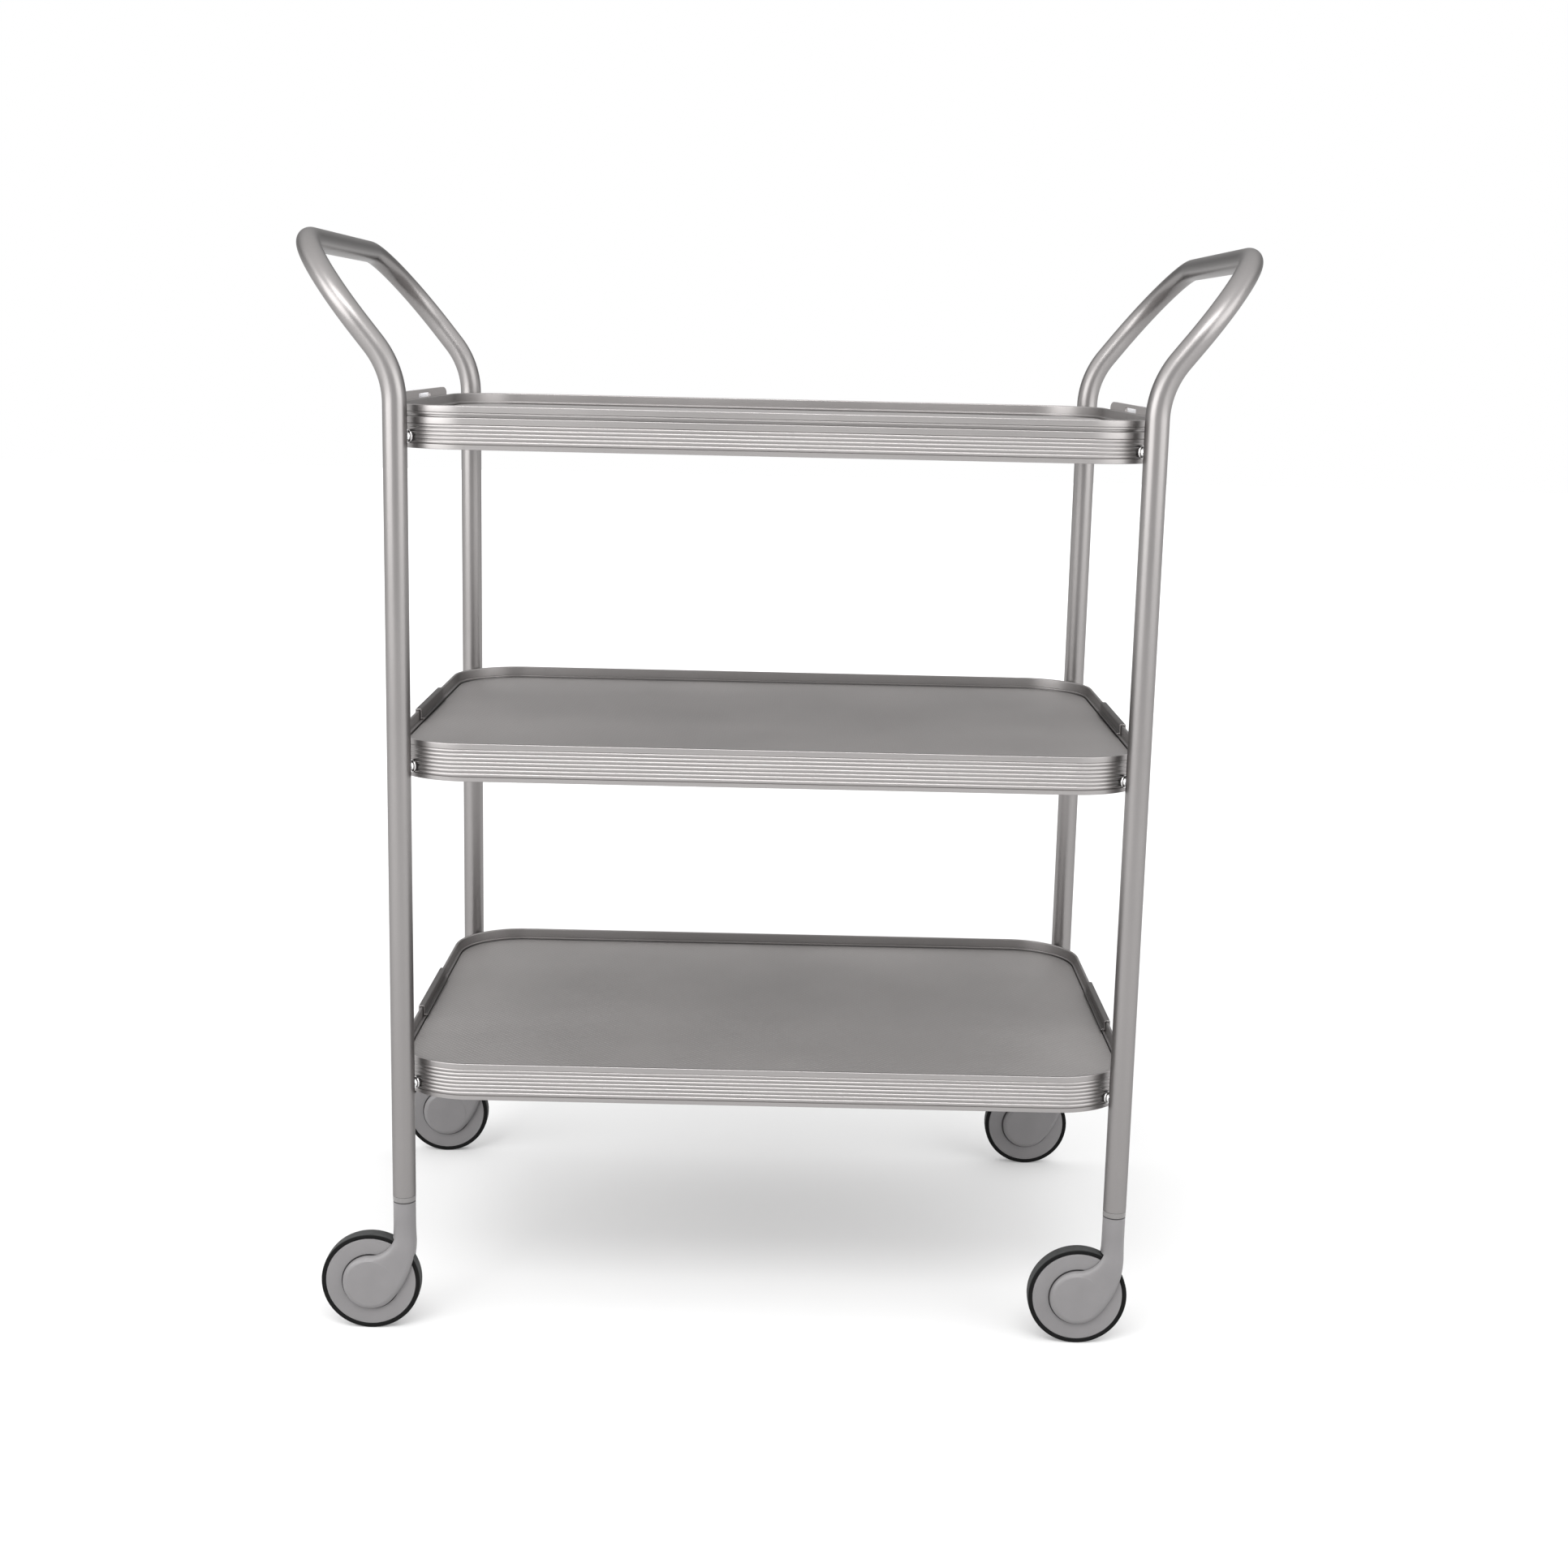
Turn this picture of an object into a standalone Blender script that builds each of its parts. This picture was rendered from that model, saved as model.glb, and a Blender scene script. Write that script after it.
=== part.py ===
"""Three-tier bar cart on four swivel casters.

Two bent tube frames carry two fixed trays and a ribbed hoop; a serving tray with two
handles drops into the hoop. Each leg ends in a socket for a caster fork, axle, wheel and
tyre. Metres, +Z up, X along the cart's length, origin on the floor under its middle.
"""

import math

import bmesh
import bpy
from mathutils import Matrix, Vector

# Gaps between touching pieces
FIT_GAP = 0.0003

# Side frames: one bent tube each
TUBE_RADIUS = 0.0095
TUBE_WALL = 0.0015
LEG_X = 0.295
LEG_Y = 0.2065
LEG_FOOT_Z = 0.1169
HANDLE_BEND_Z = 0.7643
HANDLE_TILT = math.radians(38.4)
HANDLE_BEND_RADIUS = 0.073
HANDLE_STRAIGHT = 0.0165
HANDLE_CORNER_RADIUS = 0.086
TUBE_SIDES = 12
TILT_STEPS = 3
HANDLE_CORNER_STEPS = 5

# Trays: shared plan
TRAY_HALF_X = 0.305
TRAY_HALF_Y = 0.213
TRAY_CORNER = 0.063
CORNER_STEPS = 6

# Ribbed rims
RIM_WALL = 0.0024
RIM_LIP = 0.0004
RIB_DEPTH = 0.0006
GROOVE_SHARE = 0.15
RIM_HEIGHT = 0.0308
LOWER_RIM_Z = 0.2025
MIDDLE_RIM_Z = 0.4687
TOP_BAND = 0.0049
BOTTOM_BAND = 0.0036
RIM_RIBS = 7
FOOT_LIP = 0.0070
SHEET = 0.0016

# Floor panel of a tray, held inside the rim
PANEL_DROP = 0.0101
PANEL_THICKNESS = 0.0020
PANEL_INSET = 0.0055
BEAD_INSET = 0.0050
BEAD_DROP = 0.0080
BEAD_STEP = 0.0010
BEAD_HEIGHT = 0.0015
FLANGE_INSET = 0.0150

# Hoop that carries the serving tray
HOOP_Z = 0.7303
HOOP_HEIGHT = 0.0247
HOOP_TOP_BAND = 0.0055
HOOP_BOTTOM_BAND = 0.0039
HOOP_RIBS = 5
LEDGE_DROP = 0.0091
LEDGE_INSET = 0.0120

# Serving tray
SERVING_LIP_Z = 0.7566
SERVING_TOP_Z = 0.7640
SERVING_BEAD = 0.0019
SPIGOT_OUTER = 0.0029
SPIGOT_INNER = 0.0046

# Joint clips over the short sides of the fixed trays
CLIP_HALF_LENGTH = 0.060
CLIP_SHEET = 0.0012
CLIP_SKIRT = 0.0046
CLIP_FOOT_DROP = 0.0077
CLIP_FOOT_INSET = 0.0064

# Serving tray handles
PLATE_HALF_LENGTH = 0.122
PLATE_TOP_Z = 0.7710
PLATE_FOOT_Z = 0.7572
PLATE_THICKNESS = 0.0020
PLATE_CROWN_LENGTH = 0.022
PLATE_CROWN_DROP = 0.0055
CROWN_STEPS = 6
WINDOW_HALF_LENGTH = 0.030
WINDOW_FOOT_Z = 0.7642
WINDOW_TOP_Z = 0.7680
WINDOW_CORNER = 0.0012
GRIP_X = 0.322
GRIP_Z = 0.7643
GRIP_RADIUS = 0.0045
GRIP_BORE = 0.0034
GRIP_HALF_LENGTH = 0.0272
GRIP_SIDES = 12
ELBOW_Y = 0.042
ELBOW_BEND = 0.010
ELBOW_RADIUS = 0.0054
ELBOW_SPIGOT_RADIUS = 0.0031
ELBOW_SPIGOT_LENGTH = 0.0070
ELBOW_SIDES = 8
ELBOW_STEPS = 4

# Bolts that hold each tray corner to a leg
BOLT_HEIGHT = 0.009
BOLT_RADIUS = 0.0025
BOLT_HOLE_RADIUS = 0.0029
BOLT_HOLE_LENGTH = 0.018
BOLT_HOLE_MIDDLE = 0.0035
BOLT_HEAD_RADIUS = 0.0045
BOLT_HEAD_HEIGHT = 0.0026
BOLT_HEAD_SEAT = 0.0008
BOLT_CUP_RADIUS = 0.0052
BOLT_NUT_RADIUS = 0.0038
BOLT_NUT_LENGTH = 0.0030
BOLT_SIDES = 8

# Casters
WHEEL_RADIUS = 0.0414
WHEEL_DISC_RADIUS = 0.0375
WHEEL_HALF_WIDTH = 0.0060
TYRE_HALF_WIDTH = 0.0061
TYRE_EDGE = 0.0012
TRAIL = 0.028
WHEEL_SIDES = 24
AXLE_RADIUS = 0.0030
AXLE_HALF_LENGTH = 0.0097
AXLE_SIDES = 12
STEM_RADIUS = 0.0093
STEM_TOP_Z = 0.1113
STEM_FOOT_Z = 0.060
STEM_SIDES = 16
PIN_RADIUS = 0.0055
PIN_TOP_Z = 0.134
HUB_RADIUS = 0.0233
CHEEK_INNER = 0.0065
CHEEK_OUTER = 0.0111
CHEEK_CHAMFER = 0.0015
CHEEK_CHAMFER_DEPTH = 0.0022
CHEEK_FRONT_Z = 0.075
CHEEK_TOP_Z = 0.086
CHEEK_FACE_TOP_Z = 0.084
FILLET_STEPS = 4
HUB_STEPS = 10
SWEEP_STEPS = 3
SLOT_RADIUS = 0.0430
SLOT_OVERCUT = 0.00003
SOCKET_FLANGE_Z = 0.1121
SOCKET_TOP_Z = 0.142
SOCKET_PLUG_RADIUS = 0.0077
SOCKET_BORE = 0.0058

SIDES = {"left": -1, "right": 1}
ENDS = {"front": -1, "back": 1}


def clear_objects():
    for old in list(bpy.data.objects):
        bpy.data.objects.remove(old, do_unlink=True)


def make_material(name, colour, roughness, metallic):
    material = bpy.data.materials.new(name)
    material.use_nodes = True
    shader = material.node_tree.nodes["Principled BSDF"]
    shader.inputs["Base Color"].default_value = (*colour, 1.0)
    shader.inputs["Roughness"].default_value = roughness
    shader.inputs["Metallic"].default_value = metallic
    return material


# Shared mesh helpers

def mesh_from(name, points, faces, smooth_angle=30.0):
    """One closed mesh with its faces turned outward."""
    mesh = bpy.data.meshes.new(name)
    shape = bmesh.new()
    corners = [shape.verts.new(point) for point in points]
    for face in faces:
        shape.faces.new([corners[index] for index in face])
    bmesh.ops.recalc_face_normals(shape, faces=shape.faces)
    shape.to_mesh(mesh)
    shape.free()
    mesh.shade_smooth()
    mesh.set_sharp_from_angle(angle=math.radians(smooth_angle))
    return mesh


def place(name, mesh, material, location=(0, 0, 0), rotation=(0, 0, 0), parent=None):
    piece = bpy.data.objects.new(name, mesh)
    bpy.context.collection.objects.link(piece)
    piece.location = location
    piece.rotation_euler = rotation
    piece.parent = parent
    if material and not mesh.materials:
        mesh.materials.append(material)
    return piece


def pivot(name, location, parent=None):
    marker = bpy.data.objects.new(name, None)
    bpy.context.collection.objects.link(marker)
    marker.location = location
    marker.parent = parent
    return marker


def joined_rings(rings, close_path=False):
    """Faces between equal rings of points, capped at both ends unless the path closes."""
    count = len(rings[0])
    points = [point for ring in rings for point in ring]
    faces = []
    spans = len(rings) if close_path else len(rings) - 1
    for span in range(spans):
        here = span * count
        there = (span + 1) % len(rings) * count
        for index in range(count):
            following = (index + 1) % count
            faces.append((here + index, here + following, there + following, there + index))
    if not close_path:
        faces.append(tuple(range(count)))
        faces.append(tuple(range((len(rings) - 1) * count, len(rings) * count)))
    return points, faces


def turned(name, profile, sides, capped=True):
    """A turned solid about local Z from (radius, height) points; an open ring if not capped."""
    rings = []
    for radius, height in profile:
        ring = []
        for step in range(sides):
            angle = math.tau * step / sides
            ring.append(Vector((radius * math.cos(angle), radius * math.sin(angle), height)))
        rings.append(ring)
    points, faces = joined_rings(rings, close_path=not capped)
    return mesh_from(name, points, faces)


def extruded(name, outline, start, end, to_point):
    """A prism of a flat outline; to_point places (across, up, along) in space."""
    rings = [[Vector(to_point(a, b, along)) for a, b in outline] for along in (start, end)]
    points, faces = joined_rings(rings)
    return mesh_from(name, points, faces)


def baked(piece):
    """The evaluated mesh of a piece, so that copies can share it."""
    bpy.context.view_layer.update()
    graph = bpy.context.evaluated_depsgraph_get()
    mesh = bpy.data.meshes.new_from_object(piece.evaluated_get(graph))
    bpy.data.objects.remove(piece, do_unlink=True)
    return mesh


def boolean(piece, other, operation):
    modifier = piece.modifiers.new(other.name, "BOOLEAN")
    modifier.operation = operation
    modifier.solver = "EXACT"
    modifier.object = other
    other.hide_render = True
    other.display_type = "WIRE"


def arc_points(centre, radius, start, end, steps):
    for step in range(steps + 1):
        angle = start + (end - start) * step / steps
        yield centre[0] + radius * math.cos(angle), centre[1] + radius * math.sin(angle)


# Side frames

def frame_route(side):
    """Centreline of one side frame, front foot to back foot, with its tangents."""
    tilt = Vector((side * math.sin(HANDLE_TILT), 0, math.cos(HANDLE_TILT)))
    up = Vector((0, 0, 1))
    out = Vector((side, 0, 0))
    inward = Vector((0, 1, 0))
    route = [(Vector((side * LEG_X, -LEG_Y, LEG_FOOT_Z)), up)]
    bend = Vector((side * LEG_X, -LEG_Y, HANDLE_BEND_Z))
    for step in range(TILT_STEPS + 1):
        angle = HANDLE_TILT * step / TILT_STEPS
        offset = out * (1 - math.cos(angle)) + up * math.sin(angle)
        tangent = out * math.sin(angle) + up * math.cos(angle)
        route.append((bend + offset * HANDLE_BEND_RADIUS, tangent))
    corner = route[-1][0] + tilt * HANDLE_STRAIGHT
    for step in range(HANDLE_CORNER_STEPS + 1):
        angle = math.pi / 2 * step / HANDLE_CORNER_STEPS
        offset = tilt * math.sin(angle) + inward * (1 - math.cos(angle))
        tangent = tilt * math.cos(angle) + inward * math.sin(angle)
        route.append((corner + offset * HANDLE_CORNER_RADIUS, tangent))
    mirrored = []
    for point, tangent in reversed(route):
        mirrored.append((Vector((point.x, -point.y, point.z)),
                         Vector((-tangent.x, tangent.y, -tangent.z))))
    return route + mirrored


def tube_rings(route, radius):
    """Rings of points around a route, turned only as far as the route turns."""
    rings = []
    across = Vector((1, 0, 0))
    before = route[0][1]
    for point, tangent in route:
        across = before.rotation_difference(tangent) @ across
        across = (across - tangent * across.dot(tangent)).normalized()
        beside = tangent.cross(across)
        ring = []
        for step in range(TUBE_SIDES):
            angle = math.tau * step / TUBE_SIDES
            ring.append(point + (across * math.cos(angle) + beside * math.sin(angle)) * radius)
        rings.append(ring)
        before = tangent
    return rings


def side_frame_mesh(name, side):
    """A hollow tube, open at both feet."""
    route = frame_route(side)
    outer = tube_rings(route, TUBE_RADIUS)
    inner = tube_rings(route, TUBE_RADIUS - TUBE_WALL)
    points, faces = joined_rings(outer + inner[::-1], close_path=True)
    return mesh_from(name, points, faces)


# Rims and panels

def rim_route(end, inset=0.0):
    """Half of the tray outline, left joint to right joint, with outward normals."""
    radius = TRAY_CORNER - inset
    centre_x = TRAY_HALF_X - TRAY_CORNER
    centre_y = end * (TRAY_HALF_Y - TRAY_CORNER)
    joint_y = end * FIT_GAP / 2
    route = [((-TRAY_HALF_X + inset, joint_y), (-1, 0))]
    for sign, start in ((-1, math.pi), (1, math.pi - end * math.pi / 2)):
        for step in range(CORNER_STEPS + 1):
            angle = start - end * math.pi / 2 * step / CORNER_STEPS
            normal = (math.cos(angle), math.sin(angle))
            centre = sign * centre_x
            route.append(((centre + radius * normal[0], centre_y + radius * normal[1]), normal))
    route.append(((TRAY_HALF_X - inset, joint_y), (1, 0)))
    return route


def swept_rim(name, profile, end):
    """A rim half from a profile of (inset from the outer face, height) points."""
    rings = []
    for (x, y), (normal_x, normal_y) in rim_route(end):
        rings.append([Vector((x - normal_x * inset, y - normal_y * inset, height))
                      for inset, height in profile])
    points, faces = joined_rings(rings)
    return mesh_from(name, points, faces, smooth_angle=20.0)


def ribbed_face(foot_z, height, bottom_band, top_band, ribs):
    """Outer face from foot to top: a plain band, rounded ribs, a plain band."""
    face = [(0.0, foot_z), (0.0, foot_z + bottom_band)]
    pitch = (height - bottom_band - top_band) / ribs
    for rib in range(ribs):
        groove = foot_z + bottom_band + rib * pitch
        face.append((RIB_DEPTH, groove + GROOVE_SHARE * pitch))
        face.append((0.0, groove + 0.5 * pitch))
    face.append((RIB_DEPTH, foot_z + height - top_band - GROOVE_SHARE * pitch))
    face.append((0.0, foot_z + height - top_band))
    return face


def rolled_top(top_z):
    return [(0.0, top_z - RIM_LIP), (RIM_LIP, top_z),
            (RIM_WALL - RIM_LIP, top_z), (RIM_WALL, top_z - RIM_LIP)]


def tray_rim_profile(foot_z):
    """Ribbed wall with a bead, a flange under the panel and a lip at its foot."""
    top = foot_z + RIM_HEIGHT
    flange = top - PANEL_DROP - PANEL_THICKNESS - FIT_GAP
    return (ribbed_face(foot_z, RIM_HEIGHT, BOTTOM_BAND, TOP_BAND, RIM_RIBS)
            + rolled_top(top)
            + [(RIM_WALL, top - BEAD_DROP),
               (RIM_WALL + BEAD_STEP, top - BEAD_DROP),
               (BEAD_INSET, top - BEAD_DROP - BEAD_HEIGHT),
               (BEAD_INSET, flange),
               (FLANGE_INSET, flange),
               (FLANGE_INSET, flange - SHEET),
               (RIM_WALL, flange - SHEET),
               (RIM_WALL, foot_z + SHEET),
               (FOOT_LIP, foot_z + SHEET),
               (FOOT_LIP, foot_z)])


def hoop_profile():
    """Ribbed hoop with the ledge that the serving tray stands on."""
    top = HOOP_Z + HOOP_HEIGHT
    ledge = top - LEDGE_DROP
    return (ribbed_face(HOOP_Z, HOOP_HEIGHT, HOOP_BOTTOM_BAND, HOOP_TOP_BAND, HOOP_RIBS)
            + rolled_top(top)
            + [(RIM_WALL, ledge),
               (LEDGE_INSET, ledge),
               (LEDGE_INSET, ledge - SHEET),
               (RIM_WALL, ledge - SHEET),
               (RIM_WALL, HOOP_Z + SHEET),
               (FOOT_LIP, HOOP_Z + SHEET),
               (FOOT_LIP, HOOP_Z)])


def serving_rim_profile():
    """Beaded lip over the hoop, and the spigot that drops inside it."""
    bead_top = SERVING_LIP_Z + SERVING_BEAD
    panel_top = SERVING_TOP_Z - PANEL_DROP
    flange = panel_top - PANEL_THICKNESS - FIT_GAP
    ledge = HOOP_Z + HOOP_HEIGHT - LEDGE_DROP + FIT_GAP
    return ([(0.0, SERVING_LIP_Z),
             (0.0, bead_top - FIT_GAP),
             (RIB_DEPTH, bead_top),
             (0.0, bead_top + FIT_GAP)]
            + rolled_top(SERVING_TOP_Z)
            + [(RIM_WALL, SERVING_TOP_Z - BEAD_DROP),
               (RIM_WALL + BEAD_STEP, SERVING_TOP_Z - BEAD_DROP),
               (BEAD_INSET, SERVING_TOP_Z - BEAD_DROP - BEAD_HEIGHT),
               (BEAD_INSET, flange),
               (FLANGE_INSET, flange),
               (FLANGE_INSET, flange - SHEET),
               (SPIGOT_INNER, flange - SHEET),
               (SPIGOT_INNER, ledge),
               (SPIGOT_OUTER, ledge),
               (SPIGOT_OUTER, SERVING_LIP_Z)])


def panel_mesh(name):
    """Flat floor panel with its top face at local height 0."""
    back = [point for point, _ in rim_route(1, PANEL_INSET)[1:-1]]
    front = [point for point, _ in rim_route(-1, PANEL_INSET)[1:-1]]
    outline = back + front[::-1]
    return extruded(name, outline, -PANEL_THICKNESS, 0.0, lambda a, b, along: (a, b, along))


def clip_mesh(name):
    """Folded strip over a rim: outer skirt, fold, inner skirt and foot; rim top at height 0."""
    inside = RIM_WALL + FIT_GAP
    foot = -CLIP_FOOT_DROP
    outline = [(-FIT_GAP - CLIP_SHEET, -CLIP_SKIRT),
               (-FIT_GAP - CLIP_SHEET, CLIP_SHEET),
               (-CLIP_SHEET / 2, FIT_GAP + CLIP_SHEET),
               (inside, FIT_GAP + CLIP_SHEET),
               (inside + CLIP_SHEET, CLIP_SHEET / 2),
               (inside + CLIP_SHEET, foot + CLIP_SHEET),
               (CLIP_FOOT_INSET, foot + CLIP_SHEET),
               (CLIP_FOOT_INSET, foot),
               (inside, foot),
               (inside, FIT_GAP),
               (-FIT_GAP, FIT_GAP),
               (-FIT_GAP, -CLIP_SKIRT)]
    return extruded(name, outline, -CLIP_HALF_LENGTH, CLIP_HALF_LENGTH,
                    lambda inset, up, along: (-inset, along, up))


# Serving tray handles

def finger_window():
    """Cutter for the slot in a handle plate through which the grip can be seen and held."""
    short = WINDOW_HALF_LENGTH - WINDOW_CORNER
    outline = [(-short, WINDOW_FOOT_Z), (short, WINDOW_FOOT_Z),
               (WINDOW_HALF_LENGTH, WINDOW_FOOT_Z + WINDOW_CORNER),
               (WINDOW_HALF_LENGTH, WINDOW_TOP_Z - WINDOW_CORNER),
               (short, WINDOW_TOP_Z), (-short, WINDOW_TOP_Z),
               (-WINDOW_HALF_LENGTH, WINDOW_TOP_Z - WINDOW_CORNER),
               (-WINDOW_HALF_LENGTH, WINDOW_FOOT_Z + WINDOW_CORNER)]
    mesh = extruded("finger_window", outline, -PLATE_THICKNESS, 2 * PLATE_THICKNESS,
                    lambda a, b, along: (along, a, b))
    return place("finger_window", mesh, None)


def handle_plate_mesh(name):
    """Flat plate outside the lip with crowned top corners and a finger window; inner face at X 0."""
    flat = PLATE_HALF_LENGTH - PLATE_CROWN_LENGTH
    outline = [(-PLATE_HALF_LENGTH, PLATE_FOOT_Z), (PLATE_HALF_LENGTH, PLATE_FOOT_Z)]
    crown = []
    for step in range(CROWN_STEPS + 1):
        angle = math.pi / 2 * step / CROWN_STEPS
        crown.append((flat + PLATE_CROWN_LENGTH * math.cos(angle),
                      PLATE_TOP_Z - PLATE_CROWN_DROP * (1 - math.sin(angle))))
    outline += crown
    outline += [(-along, up) for along, up in reversed(crown)]
    mesh = extruded(name, outline, 0.0, PLATE_THICKNESS, lambda a, b, along: (along, a, b))
    plate = place(name + "_blank", mesh, None)
    window = finger_window()
    boolean(plate, window, "DIFFERENCE")
    windowed = baked(plate)
    bpy.data.objects.remove(window, do_unlink=True)
    return windowed


def elbow_mesh(name):
    """Moulded elbow from the plate's face round to the grip; foot at local origin, grip to -Y."""
    reach = GRIP_X - TRAY_HALF_X - 2 * FIT_GAP - PLATE_THICKNESS
    bend_x = reach - ELBOW_BEND
    stations = [(0.0, 0.0, 0.0, ELBOW_RADIUS)]
    for step in range(ELBOW_STEPS + 1):
        angle = math.pi / 2 * step / ELBOW_STEPS
        stations.append((bend_x + ELBOW_BEND * math.sin(angle),
                         ELBOW_BEND * (math.cos(angle) - 1), angle, ELBOW_RADIUS))
    socket_y = GRIP_HALF_LENGTH + FIT_GAP - ELBOW_Y
    stations.append((reach, socket_y, math.pi / 2, ELBOW_RADIUS))
    stations.append((reach, socket_y, math.pi / 2, ELBOW_SPIGOT_RADIUS))
    stations.append((reach, socket_y - ELBOW_SPIGOT_LENGTH, math.pi / 2, ELBOW_SPIGOT_RADIUS))
    rings = []
    for x, y, heading, radius in stations:
        across = Vector((math.sin(heading), math.cos(heading), 0))
        ring = []
        for step in range(ELBOW_SIDES):
            angle = math.tau * step / ELBOW_SIDES
            offset = across * math.cos(angle) + Vector((0, 0, 1)) * math.sin(angle)
            ring.append(Vector((x, y, 0)) + offset * radius)
        rings.append(ring)
    points, faces = joined_rings(rings)
    return mesh_from(name, points, faces)


# Bolts

def corner_axis():
    """Centre of a tray's corner arc, and the unit direction from it to the leg."""
    centre = Vector((TRAY_HALF_X - TRAY_CORNER, TRAY_HALF_Y - TRAY_CORNER, 0))
    return centre, (Vector((LEG_X, LEG_Y, 0)) - centre).normalized()


def bolt_mesh(name):
    """Head inside the rim, cup washer between rim and leg, nut inside the tube."""
    centre, _ = corner_axis()
    leg = (Vector((LEG_X, LEG_Y, 0)) - centre).length
    wall_inside = TRAY_CORNER - RIM_WALL - BOLT_HEAD_SEAT
    cup_start = TRAY_CORNER + FIT_GAP
    cup_end = leg - TUBE_RADIUS - FIT_GAP
    nut_start = leg - math.sqrt((TUBE_RADIUS - TUBE_WALL) ** 2 - BOLT_NUT_RADIUS ** 2) + FIT_GAP
    profile = [(BOLT_HEAD_RADIUS, wall_inside - BOLT_HEAD_HEIGHT),
               (BOLT_HEAD_RADIUS, wall_inside),
               (BOLT_RADIUS, wall_inside),
               (BOLT_RADIUS, cup_start),
               (BOLT_CUP_RADIUS, cup_start),
               (BOLT_CUP_RADIUS, cup_end),
               (BOLT_RADIUS, cup_end),
               (BOLT_RADIUS, nut_start),
               (BOLT_NUT_RADIUS, nut_start),
               (BOLT_NUT_RADIUS, nut_start + BOLT_NUT_LENGTH)]
    return turned(name, profile, BOLT_SIDES)


def bolt_heading(side, end):
    """Rotation that lays a turned piece along the corner direction of one leg."""
    _, direction = corner_axis()
    heading = Vector((side * direction.x, end * direction.y, 0))
    return heading.to_track_quat("Z", "Y").to_euler()


def bolt_holes(name, corners, heights):
    """One cutter with a pin through the rim and tube at each given corner and height."""
    centre, _ = corner_axis()
    cutter = bmesh.new()
    for side, end in corners:
        turn = bolt_heading(side, end).to_matrix().to_4x4()
        for height in heights:
            start = Vector((side * centre.x, end * centre.y, height))
            middle = start + turn @ Vector((0, 0, TRAY_CORNER + BOLT_HOLE_MIDDLE))
            bmesh.ops.create_cone(cutter, cap_ends=True, segments=BOLT_SIDES,
                                  radius1=BOLT_HOLE_RADIUS, radius2=BOLT_HOLE_RADIUS,
                                  depth=BOLT_HOLE_LENGTH,
                                  matrix=Matrix.Translation(middle) @ turn)
    mesh = bpy.data.meshes.new(name)
    cutter.to_mesh(mesh)
    cutter.free()
    return place(name, mesh, None)


# Casters

def cheek_outline(inset, top_z):
    """Comma shape of a fork cheek in (x, z): stem, fillet, hub disc and the sweep back up."""
    hub = (-TRAIL, WHEEL_RADIUS)
    hub_radius = HUB_RADIUS - inset
    stem = STEM_RADIUS - inset
    fillet = TRAIL - stem
    fillet_centre = (-TRAIL, WHEEL_RADIUS + hub_radius + fillet)
    rise = CHEEK_FRONT_Z - WHEEL_RADIUS
    run = stem + TRAIL
    sweep = (run ** 2 + rise ** 2 - hub_radius ** 2) / (2 * (run - hub_radius))
    sweep_centre = (stem - sweep, CHEEK_FRONT_Z)
    meeting = math.atan2(hub[1] - sweep_centre[1], hub[0] - sweep_centre[0])
    outline = [(-stem, top_z)]
    outline += list(arc_points(fillet_centre, fillet, 0.0, -math.pi / 2, FILLET_STEPS))
    outline += list(arc_points(hub, hub_radius, math.pi / 2, math.tau + meeting, HUB_STEPS))[1:]
    outline += list(arc_points(sweep_centre, sweep, meeting, 0.0, SWEEP_STEPS))[1:]
    outline.append((stem, top_z))
    return outline


def cheek_mesh(name, end):
    """One cheek: full outline at the wheel, drawn in by a chamfer at its outer face."""
    layers = [(0.0, CHEEK_TOP_Z, CHEEK_INNER),
              (0.0, CHEEK_TOP_Z, CHEEK_OUTER - CHEEK_CHAMFER_DEPTH),
              (CHEEK_CHAMFER, CHEEK_FACE_TOP_Z, CHEEK_OUTER)]
    rings = []
    for inset, top_z, depth in layers:
        rings.append([Vector((x, end * depth, z)) for x, z in cheek_outline(inset, top_z)])
    points, faces = joined_rings(rings)
    return mesh_from(name, points, faces)


def fork_mesh():
    """Stem and pin, two cheeks, a slot for the wheel and blind holes for the axle."""
    stem_profile = [(STEM_RADIUS, STEM_FOOT_Z), (STEM_RADIUS, STEM_TOP_Z),
                    (PIN_RADIUS, STEM_TOP_Z), (PIN_RADIUS, PIN_TOP_Z)]
    stem = place("stem_blank", turned("stem_blank", stem_profile, STEM_SIDES), None)
    helpers = []
    for end_name, end in ENDS.items():
        cheek = place("cheek_" + end_name, cheek_mesh("cheek_" + end_name, end), None)
        boolean(stem, cheek, "UNION")
        helpers.append(cheek)
    across = (math.pi / 2, 0, 0)
    wheel_centre = (-TRAIL, 0, WHEEL_RADIUS)
    half_slot = CHEEK_INNER + SLOT_OVERCUT
    slot_profile = [(SLOT_RADIUS, -half_slot), (SLOT_RADIUS, half_slot)]
    slot = place("slot_cutter", turned("slot_cutter", slot_profile, WHEEL_SIDES), None,
                 wheel_centre, across)
    bore_depth = AXLE_HALF_LENGTH + FIT_GAP
    bore_profile = [(AXLE_RADIUS + FIT_GAP, -bore_depth), (AXLE_RADIUS + FIT_GAP, bore_depth)]
    bore = place("bore_cutter", turned("bore_cutter", bore_profile, AXLE_SIDES), None,
                 wheel_centre, across)
    for cutter in (slot, bore):
        boolean(stem, cutter, "DIFFERENCE")
        helpers.append(cutter)
    mesh = baked(stem)
    for helper in helpers:
        bpy.data.objects.remove(helper, do_unlink=True)
    mesh.materials.clear()
    mesh.name = "caster_fork"
    mesh.shade_smooth()
    mesh.set_sharp_from_angle(angle=math.radians(30))
    return mesh


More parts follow.
